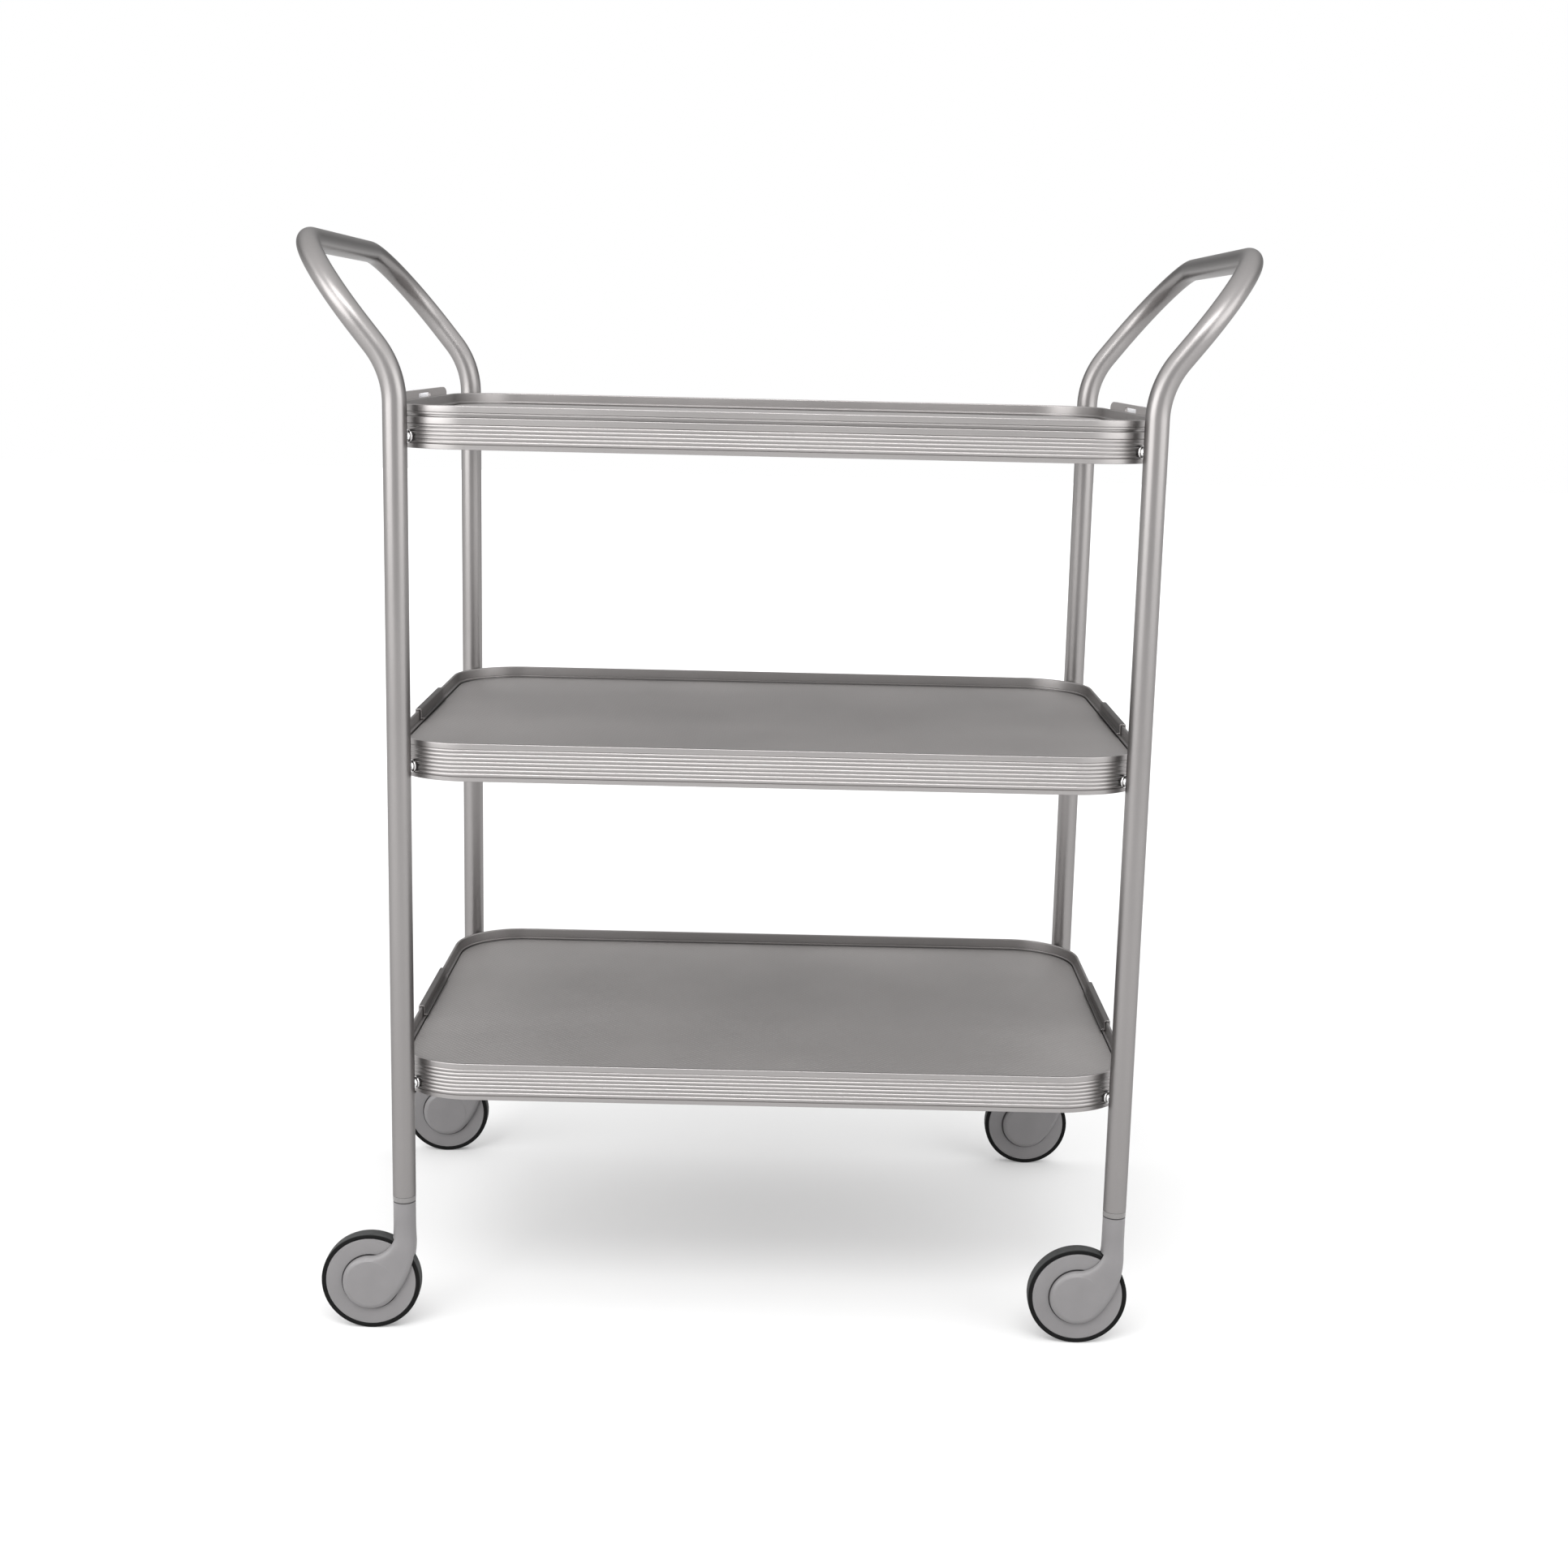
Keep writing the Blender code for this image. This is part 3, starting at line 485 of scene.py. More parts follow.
def moulded(name, colour, roughness, grain=0.00003):
    """Moulded plastic with a fine spark texture and a faint flow mottle."""
    nodes = Nodes(name)
    nodes.shader.inputs["Specular IOR Level"].default_value = 0.45
    cloud = nodes.noise("Object", 45.0, 4.0)
    spark = nodes.noise("Object", 2600.0, 3.0)
    nodes.colours(nodes.ranged(cloud, 0.0, 1.0), scaled(colour, 0.95), scaled(colour, 1.05))
    nodes.link(nodes.ranged(spark, roughness - 0.05, roughness + 0.06),
               nodes.shader.inputs["Roughness"])
    nodes.bump(spark, grain)
    return nodes.material


def tyre_rubber(name, tread, wall):
    """Rubber: a grey tread, coloured lighter as painted light from above, with a random scuffed tone; a
    near-black smooth side ring coloured as painted shade.
    """
    nodes = Nodes(name)
    nodes.shader.inputs["Specular IOR Level"].default_value = 0.12
    split = nodes.add("SeparateXYZ")
    nodes.link(nodes.where.outputs["Object"], split.inputs[0])
    side = nodes.math("ABSOLUTE", split.outputs["Z"])
    # Painted light and shade: the tread is coloured grey and the side ring near-black, as if the top is
    # lit and the side shaded.
    tread_painted_light_mask = nodes.ranged(side, 1.0, 0.0, TYRE_HALF_WIDTH - 0.0009, TYRE_HALF_WIDTH - 0.0001)
    scuff = nodes.noise("Object", 260.0, 5.0)
    fine = nodes.noise("Object", 1900.0, 2.0)
    tone = nodes.math("MULTIPLY", tread_painted_light_mask, nodes.ranged(scuff, 0.75, 1.1))
    nodes.colours(tone, wall, tread)
    nodes.link(nodes.ranged(scuff, 0.62, 0.80), nodes.shader.inputs["Roughness"])
    nodes.bump(fine, 0.00004)
    return nodes.material


def plated(name, colour, roughness):
    """Bright plating with faint polishing rings and handling marks."""
    nodes = Nodes(name)
    nodes.shader.inputs["Metallic"].default_value = 1.0
    marks = nodes.noise("Object", 420.0, 4.0)
    nodes.colours(nodes.ranged(marks, 0.0, 1.0), scaled(colour, 0.92), scaled(colour, 1.04))
    nodes.link(nodes.ranged(marks, roughness - 0.03, roughness + 0.06),
               nodes.shader.inputs["Roughness"])
    nodes.bump(marks, 0.000006)
    return nodes.material


def make_materials():
    return {
        "tube": anodised("satin_tube", scaled(WARM_SILVER, 0.94), 0.34, 0.70),
        "rim": anodised("satin_extrusion", scaled(WARM_SILVER, 1.15), 0.40, 0.85, 0.000002),
        "panel": embossed("embossed_sheet", scaled(WARM_SILVER, 1.24), 0.45),
        "sheet": anodised("satin_sheet", scaled(WARM_SILVER, 1.0), 0.33),
        "plate": anodised("satin_plate", scaled(WARM_SILVER, 1.7), 0.48, 0.90),
        "grip": anodised("satin_grip", scaled(WARM_SILVER, 1.6), 0.28, 0.85, 0.000003),
        "elbow": moulded("light_nylon", LIGHT_NYLON, 0.42),
        "chrome": plated("bright_plating", CHROME, 0.12),
        "seal": moulded("black_seal", SEAL_BLACK, 0.50),
        "collar": moulded("collar_plastic", COLLAR_GREY, 0.22),
        "nylon": moulded("grey_nylon", GREY_NYLON, 0.42),
        "tyre": tyre_rubber("tyre_rubber", TREAD_PAINTED_LIGHT, SIDE_RING_PAINTED_SHADE),
        "axle": plated("axle_steel", AXLE_STEEL, 0.30),
    }


# Side frames

def frame_route(side):
    """Centreline of one side frame, front foot to back foot, with its tangents."""
    tilt = Vector((side * math.sin(HANDLE_TILT), 0, math.cos(HANDLE_TILT)))
    up, out, inward = Vector((0, 0, 1)), Vector((side, 0, 0)), Vector((0, 1, 0))
    route = [(Vector((side * LEG_X, -LEG_Y, LEG_FOOT_Z)), up)]
    bend = Vector((side * LEG_X, -LEG_Y, HANDLE_BEND_Z))
    for step in range(TILT_STEPS + 1):
        angle = HANDLE_TILT * step / TILT_STEPS
        offset = out * (1 - math.cos(angle)) + up * math.sin(angle)
        route.append((bend + offset * HANDLE_BEND_RADIUS,
                      out * math.sin(angle) + up * math.cos(angle)))
    corner = route[-1][0] + tilt * HANDLE_STRAIGHT
    for step in range(CORNER_STEPS + 1):
        angle = math.pi / 2 * step / CORNER_STEPS
        offset = tilt * math.sin(angle) + inward * (1 - math.cos(angle))
        route.append((corner + offset * HANDLE_CORNER_RADIUS,
                      tilt * math.cos(angle) + inward * math.sin(angle)))
    mirrored = [(Vector((point.x, -point.y, point.z)),
                 Vector((-tangent.x, tangent.y, -tangent.z)))
                for point, tangent in reversed(route)]
    return route + mirrored


def tube_rings(route, radius, sides):
    rings = []
    across = Vector((1, 0, 0))
    before = route[0][1]
    for point, tangent in route:
        across = before.rotation_difference(tangent) @ across
        across = (across - tangent * across.dot(tangent)).normalized()
        beside = tangent.cross(across)
        rings.append([point + (across * math.cos(math.tau * step / sides)
                               + beside * math.sin(math.tau * step / sides)) * radius
                      for step in range(sides)])
        before = tangent
    return rings


def build_side_frames(materials):
    for side_name, side in SIDES.items():
        route = frame_route(side)
        outer = tube_rings(route, TUBE_RADIUS, TUBE_SIDES)
        inner = tube_rings(route, TUBE_RADIUS - TUBE_WALL, TUBE_SIDES)
        shape = lofted(outer + inner[::-1], close_path=True)
        piece = piece_from("frame_tube_" + side_name, shape, materials["tube"])
        dress(piece, "cart", "satin_aluminium", "side_frame_" + side_name)


# Rims

def rim_route(end, inset=0.0):
    """Half of the tray outline from joint to joint, with outward normals."""
    radius = TRAY_CORNER - inset
    joint = end * FIT_GAP / 2
    route = [((-TRAY_HALF_X + inset, joint), (-1, 0))]
    for sign, start in ((-1, math.pi), (1, math.pi - end * math.pi / 2)):
        for step in range(RIM_CORNER_STEPS + 1):
            angle = start - end * math.pi / 2 * step / RIM_CORNER_STEPS
            normal = (math.cos(angle), math.sin(angle))
            route.append(((sign * (TRAY_HALF_X - TRAY_CORNER) + radius * normal[0],
                           end * (TRAY_HALF_Y - TRAY_CORNER) + radius * normal[1]), normal))
    route.append(((TRAY_HALF_X - inset, joint), (1, 0)))
    return route


def rim_half(name, corners, end, material):
    """A rim half swept from (inset, height, rounding) corners."""
    profile = rounded(corners)
    rings = [[(x - normal_x * inset, y - normal_y * inset, height) for inset, height in profile]
             for (x, y), (normal_x, normal_y) in rim_route(end)]
    return piece_from(name, lofted(rings), material)


def ribbed_face(foot, top, bands):
    """Outer face from foot to top: a plain band, round ribs between grooves, a plain band."""
    bottom_band, top_band, ribs = bands
    corners = [(0.0, foot, EDGE_ROUND), (0.0, foot + bottom_band - RIB_GROOVE / 2, 0)]
    pitch = (top - foot - bottom_band - top_band) / ribs
    chord = pitch - RIB_GROOVE
    radius = (chord ** 2 / 4 + RIB_DEPTH ** 2) / (2 * RIB_DEPTH)
    half = math.asin(chord / 2 / radius)
    for rib in range(ribs):
        centre = foot + bottom_band + (rib + 0.5) * pitch
        for step in range(RIB_STEPS + 1):
            angle = half * (2 * step / RIB_STEPS - 1)
            corners.append((radius * (1 - math.cos(angle)), centre + radius * math.sin(angle), 0))
    corners.append((RIB_DEPTH, top - top_band - RIB_GROOVE / 2, 0))
    corners.append((0.0, top - top_band + RIB_GROOVE / 2, 0))
    corners.insert(2, (RIB_DEPTH, foot + bottom_band + RIB_GROOVE / 2, 0))
    return corners


def lip_and_bead(top, flange):
    """Rolled top edge, the bead that holds the panel's edge, and the flange under it."""
    return [(0.0, top, LIP_ROUND),
            (RIM_WALL, top, LIP_ROUND),
            (RIM_WALL, top - BEAD_DROP, 0),
            (BEAD_INSET, top - BEAD_DROP, BEAD_HEIGHT / 3),
            (BEAD_INSET, top - BEAD_DROP - BEAD_HEIGHT, EDGE_ROUND),
            (RIM_WALL + SHEET, top - BEAD_DROP - BEAD_HEIGHT, 0),
            (RIM_WALL + SHEET, flange, 0),
            (FLANGE_INSET, flange, EDGE_ROUND),
            (FLANGE_INSET, flange - SHEET, EDGE_ROUND)]


def foot_lip(foot):
    """Inner foot of a rim and its lip under the tray."""
    return [(RIM_WALL, foot + SHEET, EDGE_ROUND), (FOOT_LIP, foot + SHEET, EDGE_ROUND),
            (FOOT_LIP, foot, EDGE_ROUND)]


def build_tray_rims(materials):
    for tier in ("lower", "middle"):
        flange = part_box(tier + "_tray_panel")[0].z - FIT_GAP
        for end_name, end in ENDS.items():
            node = tier + "_tray_rim_" + end_name
            foot, top = (corner.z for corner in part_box(node))
            corners = (ribbed_face(foot, top, TRAY_BANDS) + lip_and_bead(top, flange)
                       + [(RIM_WALL, flange - SHEET, EDGE_ROUND)] + foot_lip(foot))
            piece = rim_half(tier + "_rim_" + end_name, corners, end, materials["rim"])
            dress(piece, "cart", "satin_aluminium", node)


def build_hoops(materials):
    for end_name, end in ENDS.items():
        node = "top_hoop_" + end_name
        foot, top = (corner.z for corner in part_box(node))
        ledge = top - LEDGE_DROP
        corners = (ribbed_face(foot, top, HOOP_BANDS)
                   + [(0.0, top, LIP_ROUND),
                      (RIM_WALL, top, LIP_ROUND),
                      (RIM_WALL, ledge, 0),
                      (LEDGE_INSET, ledge, EDGE_ROUND),
                      (LEDGE_INSET, ledge - SHEET, EDGE_ROUND),
                      (RIM_WALL, ledge - SHEET, EDGE_ROUND)] + foot_lip(foot))
        piece = rim_half("hoop_" + end_name, corners, end, materials["rim"])
        dress(piece, "cart", "satin_aluminium", node)


def build_serving_rims(materials):
    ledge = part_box("top_hoop_back")[1].z - LEDGE_DROP + FIT_GAP
    lip_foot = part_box("top_hoop_back")[1].z + SHEET
    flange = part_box("serving_tray_panel")[0].z - FIT_GAP
    for end_name, end in ENDS.items():
        node = "serving_tray_rim_" + end_name
        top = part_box(node)[1].z
        bead_top = lip_foot + SERVING_BEAD
        corners = ([(0.0, lip_foot, SERVING_BEAD / 3),
                    (0.0, bead_top - RIB_GROOVE / 2, SERVING_BEAD / 4),
                    (RIB_DEPTH, bead_top - RIB_GROOVE / 4, 0),
                    (RIB_DEPTH, bead_top + RIB_GROOVE / 4, 0),
                    (0.0, bead_top + RIB_GROOVE, EDGE_ROUND / 2)]
                   + lip_and_bead(top, flange)
                   + [(SPIGOT_INNER, flange - SHEET, EDGE_ROUND),
                      (SPIGOT_INNER, ledge, EDGE_ROUND),
                      (SPIGOT_OUTER, ledge, EDGE_ROUND),
                      (SPIGOT_OUTER, lip_foot, EDGE_ROUND)])
        piece = rim_half("serving_rim_" + end_name, corners, end, materials["rim"])
        dress(piece, "serving_tray", "satin_aluminium", node)


# Floor panels

def panel_shape(bottom, top):
    """Flat plate with softly broken edges; the last ring keeps the flat top's shading flat."""
    levels = [(PANEL_EDGE / 2, bottom), (0.0, bottom + PANEL_EDGE / 2), (0.0, top - PANEL_EDGE)]
    for step in range(1, 5):
        angle = math.pi / 2 * step / 4
        levels.append((PANEL_EDGE * (1 - math.cos(angle)), top - PANEL_EDGE * (1 - math.sin(angle))))
    levels.append((PANEL_EDGE * 2, top))
    rings = []
    for inset, height in levels:
        plan = ([point for point, _ in rim_route(1, PANEL_INSET + inset)[1:-1]]
                + [point for point, _ in rim_route(-1, PANEL_INSET + inset)[1:-1]][::-1])
        rings.append([(x, y, height) for x, y in plan])
    return lofted(rings)


def build_panels(materials):
    for node, body in (("lower_tray_panel", "cart"), ("middle_tray_panel", "cart"),
                       ("serving_tray_panel", "serving_tray")):
        bottom, top = (corner.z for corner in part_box(node))
        name = node.replace("_tray_panel", "_floor")
        piece = piece_from(name, panel_shape(bottom, top), materials["panel"])
        dress(piece, body, "embossed_aluminium", node)


# Clips, handle plates, grips and elbows

def bevelled(piece, width, segments):
    """Breaks the edges that meet squarely."""
    modifier = piece.modifiers.new("broken_edges", "BEVEL")
    modifier.width = width
    modifier.segments = segments
    modifier.limit_method = "ANGLE"
    modifier.angle_limit = math.radians(50)


def build_joint_clips(materials):
    inside = RIM_WALL + FIT_GAP
    fold = CLIP_SHEET
    corners = [(-FIT_GAP - CLIP_SHEET, -CLIP_SKIRT, 0),
               (-FIT_GAP - CLIP_SHEET, FIT_GAP + CLIP_SHEET, fold),
               (inside + CLIP_SHEET, FIT_GAP + CLIP_SHEET, fold),
               (inside + CLIP_SHEET, CLIP_SHEET - CLIP_FOOT_DROP, EDGE_ROUND),
               (CLIP_FOOT_INSET, CLIP_SHEET - CLIP_FOOT_DROP, 0),
               (CLIP_FOOT_INSET, -CLIP_FOOT_DROP, 0),
               (inside, -CLIP_FOOT_DROP, EDGE_ROUND),
               (inside, FIT_GAP, 0),
               (-FIT_GAP, FIT_GAP, 0),
               (-FIT_GAP, -CLIP_SKIRT, 0)]
    outline = rounded(corners)
    for tier in ("lower", "middle"):
        rim_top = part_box(tier + "_tray_rim_back")[1].z
        for side_name, side in SIDES.items():
            node = tier + "_joint_clip_" + side_name
            low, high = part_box(node)
            rings = [[(side * (TRAY_HALF_X - inset), y, rim_top + up) for inset, up in outline]
                     for y in (low.y, high.y)]
            piece = piece_from(tier + "_clip_" + side_name, lofted(rings), materials["sheet"])
            bevelled(piece, CLIP_BEVEL, 2)
            dress(piece, "cart", "sheet_aluminium", node)


def plate_outline():
    """Handle plate seen from its end: straight foot, softly crowned top corners."""
    half = PLATE_HIGH.y
    crown = []
    for step in range(PLATE_STEPS + 1):
        angle = math.pi / 2 * step / PLATE_STEPS
        crown.append((half - PLATE_CROWN_LENGTH * (1 - math.cos(angle)),
                      PLATE_HIGH.z - PLATE_CROWN_DROP * (1 - math.sin(angle))))
    return ([(-half, PLATE_LOW.z), (half, PLATE_LOW.z)] + crown
            + [(-along, up) for along, up in reversed(crown)])


def window_cutter(side):
    """Solid that cuts the finger window through one handle plate."""
    outline = rounded([(-WINDOW_HALF_LENGTH, WINDOW_FOOT_Z, WINDOW_CORNER),
                       (WINDOW_HALF_LENGTH, WINDOW_FOOT_Z, WINDOW_CORNER),
                       (WINDOW_HALF_LENGTH, WINDOW_TOP_Z, WINDOW_CORNER),
                       (-WINDOW_HALF_LENGTH, WINDOW_TOP_Z, WINDOW_CORNER)])
    rings = [[(side * x, along, up) for along, up in outline]
             for x in (PLATE_LOW.x - PLATE_MARGIN, PLATE_HIGH.x + PLATE_MARGIN)]
    return piece_from("finger_window", lofted(rings), None)


def elbow_rings(side, end):
    """Elbow from the plate's face round into the grip, with a rounded collar at the grip."""
    reach = GRIP_X - ELBOW_FOOT_X
    socket = GRIP_HALF_LENGTH + FIT_GAP - ELBOW_Y
    stations = [(0.0, 0.0, 0.0, ELBOW_RADIUS)]
    for step in range(ELBOW_STEPS + 1):
        angle = math.pi / 2 * step / ELBOW_STEPS
        waist = 1 - ELBOW_WAIST * math.sin(2 * angle)
        stations.append((reach - ELBOW_BEND * (1 - math.sin(angle)),
                         ELBOW_BEND * (math.cos(angle) - 1), angle, ELBOW_RADIUS * waist))
    quarter = math.pi / 2
    for step in range(5):
        angle = quarter * step / 4
        stations.append((reach, socket + ELBOW_LIP * (1 - math.sin(angle)), quarter,
                         ELBOW_RADIUS - ELBOW_LIP * (1 - math.cos(angle))))
    stations.append((reach, socket, quarter, ELBOW_SPIGOT_RADIUS))
    stations.append((reach, socket - ELBOW_SPIGOT_LENGTH, quarter, ELBOW_SPIGOT_RADIUS))
    rings = []
    for x, y, heading, radius in stations:
        across = Vector((math.sin(heading), math.cos(heading), 0))
        ring = []
        for step in range(ELBOW_SIDES):
            angle = math.tau * step / ELBOW_SIDES
            point = Vector((x, y, 0)) + (across * math.cos(angle)
                                         + Vector((0, 0, 1)) * math.sin(angle)) * radius
            ring.append((side * (ELBOW_FOOT_X + point.x), end * (ELBOW_Y + point.y),
                         GRIP_Z + point.z))
        rings.append(ring)
    return rings


def build_tray_handles(materials):
    outline = plate_outline()
    grip_profile = rounded([(GRIP_BORE, -GRIP_HALF_LENGTH, 0),
                            (GRIP_RADIUS, -GRIP_HALF_LENGTH, GRIP_ROUND),
                            (GRIP_RADIUS, GRIP_HALF_LENGTH, GRIP_ROUND),
                            (GRIP_BORE, GRIP_HALF_LENGTH, 0)])
    for side_name, side in SIDES.items():
        rings = [[(side * x, along, up) for along, up in outline]
                 for x in (PLATE_LOW.x, PLATE_HIGH.x)]
        mesh = combined(piece_from("plate_blank", lofted(rings), None),
                        [(window_cutter(side), "DIFFERENCE")])
        plate = placed("plate_" + side_name, mesh, materials["plate"])
        bevelled(plate, PLATE_BEVEL, 4)
        dress(plate, "serving_tray", "sheet_aluminium", "handle_plate_" + side_name)
        grip = piece_from("grip_" + side_name, turned(grip_profile, GRIP_SIDES), materials["grip"])
        grip.matrix_world = (Matrix.Translation((side * GRIP_X, 0, GRIP_Z))
                             @ Matrix.Rotation(math.pi / 2, 4, "X"))
        dress(grip, "serving_tray", "grip_aluminium", "handle_grip_" + side_name)
        for end_name, end in ENDS.items():
            where = end_name + "_" + side_name
            elbow = piece_from("elbow_" + where, lofted(elbow_rings(side, end)),
                               materials["elbow"])
            dress(elbow, "serving_tray", "light_nylon", "grip_elbow_" + where)


# Tray bolts

def bolt_shape():
    """Domed head in the rim, seal and cup washer between rim and leg, nut in the tube."""
    centre = Vector((TRAY_HALF_X - TRAY_CORNER, TRAY_HALF_Y - TRAY_CORNER))
    leg = (Vector((LEG_X, LEG_Y)) - centre).length
    wall = TRAY_CORNER - RIM_WALL
    cup = TRAY_CORNER + FIT_GAP + BOLT_SEAL
    cup_end = leg - TUBE_RADIUS - FIT_GAP
    nut = leg - TUBE_RADIUS + TUBE_WALL + FIT_GAP
    head = wall - BOLT_HEAD_HEIGHT
    return rounded([(BOLT_DIMPLE, head, 0),
                    (BOLT_HEAD_RADIUS * BOLT_DOME_SHARE, head, EDGE_ROUND),
                    (BOLT_HEAD_RADIUS, head + BOLT_DOME_HEIGHT, BOLT_DOME_ROUND),
                    (BOLT_HEAD_RADIUS, wall - FIT_GAP, 0),
                    (BOLT_RADIUS, wall - FIT_GAP, 0),
                    (BOLT_RADIUS, TRAY_CORNER + FIT_GAP, 0),
                    (BOLT_CUP_RADIUS * BOLT_SEAL_SHARE, TRAY_CORNER + FIT_GAP, EDGE_ROUND),
                    (BOLT_CUP_RADIUS * BOLT_SEAL_SHARE, cup, 0),
                    (BOLT_CUP_RADIUS, cup, EDGE_ROUND),
                    (BOLT_CUP_RADIUS, cup + BOLT_CUP_EDGE, BOLT_DOME_ROUND),
                    (BOLT_CUP_RADIUS * BOLT_CUP_SHARE, cup + BOLT_CUP_HEIGHT, 0.0004),
                    (BOLT_CUP_RADIUS * BOLT_NECK_SHARE, cup_end, 0),
                    (BOLT_RADIUS, cup_end, 0),
                    (BOLT_RADIUS, nut, 0),
                    (BOLT_NUT_RADIUS, nut, EDGE_ROUND),
                    (BOLT_NUT_RADIUS, nut + BOLT_NUT_LENGTH, EDGE_ROUND),
                    (BOLT_DIMPLE, nut + BOLT_NUT_LENGTH, 0)]), cup


def build_bolts(materials):
    profile, seal_end = bolt_shape()
    mesh = bpy.data.meshes.new("bolt")
    shape = turned(profile, BOLT_SIDES)
    bmesh.ops.recalc_face_normals(shape, faces=shape.faces)
    for face in shape.faces:
        height = face.calc_center_median().z
        face.material_index = 1 if TRAY_CORNER < height < seal_end else 0
    shape.to_mesh(mesh)
    shape.free()
    mesh.materials.append(materials["chrome"])
    mesh.materials.append(materials["seal"])
    for tier, rim in (("lower", "lower_tray_rim_"), ("middle", "middle_tray_rim_"),
                      ("top", "top_hoop_")):
        for end_name, end in ENDS.items():
            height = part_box(rim + end_name)[0].z + BOLT_HEIGHT
            for side_name, side in SIDES.items():
                start = Vector((side * (TRAY_HALF_X - TRAY_CORNER),
                                end * (TRAY_HALF_Y - TRAY_CORNER), height))
                heading = Vector((side * LEG_X, end * LEG_Y, height)) - start
                turn = heading.to_track_quat("Z", "Y").to_matrix().to_4x4()
                where = tier + "_" + end_name + "_" + side_name
                piece = placed("bolt_" + where, mesh, None, Matrix.Translation(start) @ turn)
                dress(piece, "cart", "bright_steel", "tray_bolt_" + where)


# Casters

def arc(centre, radius, start, end):
    """Evenly spaced points along an arc."""
    steps = max(2, math.ceil(abs(end - start) * radius / SURFACE_STEP))
    return [(centre[0] + radius * math.cos(start + (end - start) * step / steps),
             centre[1] + radius * math.sin(start + (end - start) * step / steps))
            for step in range(steps + 1)]


def fork_outline():
    """Comma shape of the fork in (x, z): left of the stem, hub, and the sweep back up."""
    hub = (-TRAIL, WHEEL_Z)
    fillet = TRAIL - STEM_RADIUS
    fillet_centre = (-TRAIL, WHEEL_Z + HUB_RADIUS + fillet)
    rise = CHEEK_FRONT_Z - WHEEL_Z
    run = STEM_RADIUS + TRAIL
    sweep = (run ** 2 + rise ** 2 - HUB_RADIUS ** 2) / (2 * (run - HUB_RADIUS))
    sweep_centre = (STEM_RADIUS - sweep, CHEEK_FRONT_Z)
    meeting = math.atan2(hub[1] - sweep_centre[1], hub[0] - sweep_centre[0])
    left = np.linspace(STEM_TOP_Z, fillet_centre[1], 32)[:-1]
    right = np.linspace(CHEEK_FRONT_Z, STEM_TOP_Z, 40)[1:]
    return ([(-STEM_RADIUS, z) for z in left]
            + arc(fillet_centre, fillet, 0.0, -math.pi / 2)
            + arc(hub, HUB_RADIUS, math.pi / 2, math.tau + meeting)[1:]
            + arc(sweep_centre, sweep, meeting, 0.0)[1:]
            + [(STEM_RADIUS, z) for z in right])


def outline_distance(points, outline):
    """Distance from each point to the open outline."""
    start, end = outline[:-1], outline[1:]
    run = end - start
    offset = points[:, None, :] - start[None, :, :]
    share = np.clip((offset * run).sum(2) / (run ** 2).sum(1), 0.0, 1.0)
    return np.linalg.norm(offset - share[:, :, None] * run, axis=2).min(1)


def fork_depth(points, inset):
    """Half thickness of the fork at (x, z) points that lie a given inset inside its outline."""
    stem_inset = np.minimum(inset, STEM_RADIUS)
    stem = np.sqrt(np.maximum(stem_inset * (2 * STEM_RADIUS - stem_inset), 0.0))
    edge = np.minimum(inset / CHEEK_ROUND, 1.0) * SHOULDER_SHARE
    full = SHOULDER_SHARE * (2 - SHOULDER_SHARE)
    face = CHEEK_OUTER - HUB_FACE_RISE
    cheek = CHEEK_EDGE + (face - CHEEK_EDGE) * np.sqrt(np.maximum(edge * (2 - edge), 0.0) / full)
    blend = np.clip((BLEND_HIGH_Z - points[:, 1]) / (BLEND_HIGH_Z - BLEND_LOW_Z), 0.0, 1.0)
    blend = blend * blend * (3 - 2 * blend)
    depth = stem + (cheek - stem) * blend
    from_hub = np.hypot(points[:, 0] + TRAIL, points[:, 1] - WHEEL_Z)
    disc = np.clip((HUB_FACE_RADIUS + SURFACE_STEP / 2 - from_hub) / SURFACE_STEP, 0.0, 1.0)
    return np.maximum(depth + (CHEEK_OUTER - depth) * disc, THINNEST)


def fork_points(outline):
    """Surface points over the fork: rings along its edge, a grid, and rings on the hub disc."""
    heading = np.gradient(outline, axis=0)
    heading /= np.linalg.norm(heading, axis=1)[:, None]
    outward = np.stack([heading[:, 1], -heading[:, 0]], axis=1)
    outward[[0, -1]] = [(-1, 0), (1, 0)]
    layers = [outline - outward * inset for inset in EDGE_RINGS]
    low, high = outline.min(0), outline.max(0)
    grid = np.array([(x, z) for x in np.arange(low[0], high[0], SURFACE_STEP)
                     for z in np.arange(low[1], high[1], SURFACE_STEP)])
    grid = grid[np.array([lies_inside(point, outline) for point in grid])]
    grid = grid[outline_distance(grid, outline) > EDGE_RINGS[-1] + SURFACE_STEP * GRID_CLEARANCE]
    hub_rings = [arc((-TRAIL, WHEEL_Z), HUB_FACE_RADIUS + shift, 0.0, math.tau)[:-1]
                 for shift in (-SURFACE_STEP / 2, SURFACE_STEP / 2)]
    from_step = np.abs(np.hypot(grid[:, 0] + TRAIL, grid[:, 1] - WHEEL_Z) - HUB_FACE_RADIUS)
    grid = grid[from_step > SURFACE_STEP * STEP_CLEARANCE]
    hub_points = np.array([point for ring in hub_rings for point in ring])
    hub_points = hub_points[outline_distance(hub_points, outline) > EDGE_RINGS[-1] + HUB_CLEARANCE]
    top_row = np.array([(x, STEM_TOP_Z) for x in
                        np.arange(-STEM_RADIUS + TOP_ROW_START, STEM_RADIUS - TOP_ROW_END, SURFACE_STEP)])
    grid = grid[grid[:, 1] < STEM_TOP_Z - SURFACE_STEP * GRID_CLEARANCE]
    return np.concatenate(layers + [grid, hub_points, top_row])


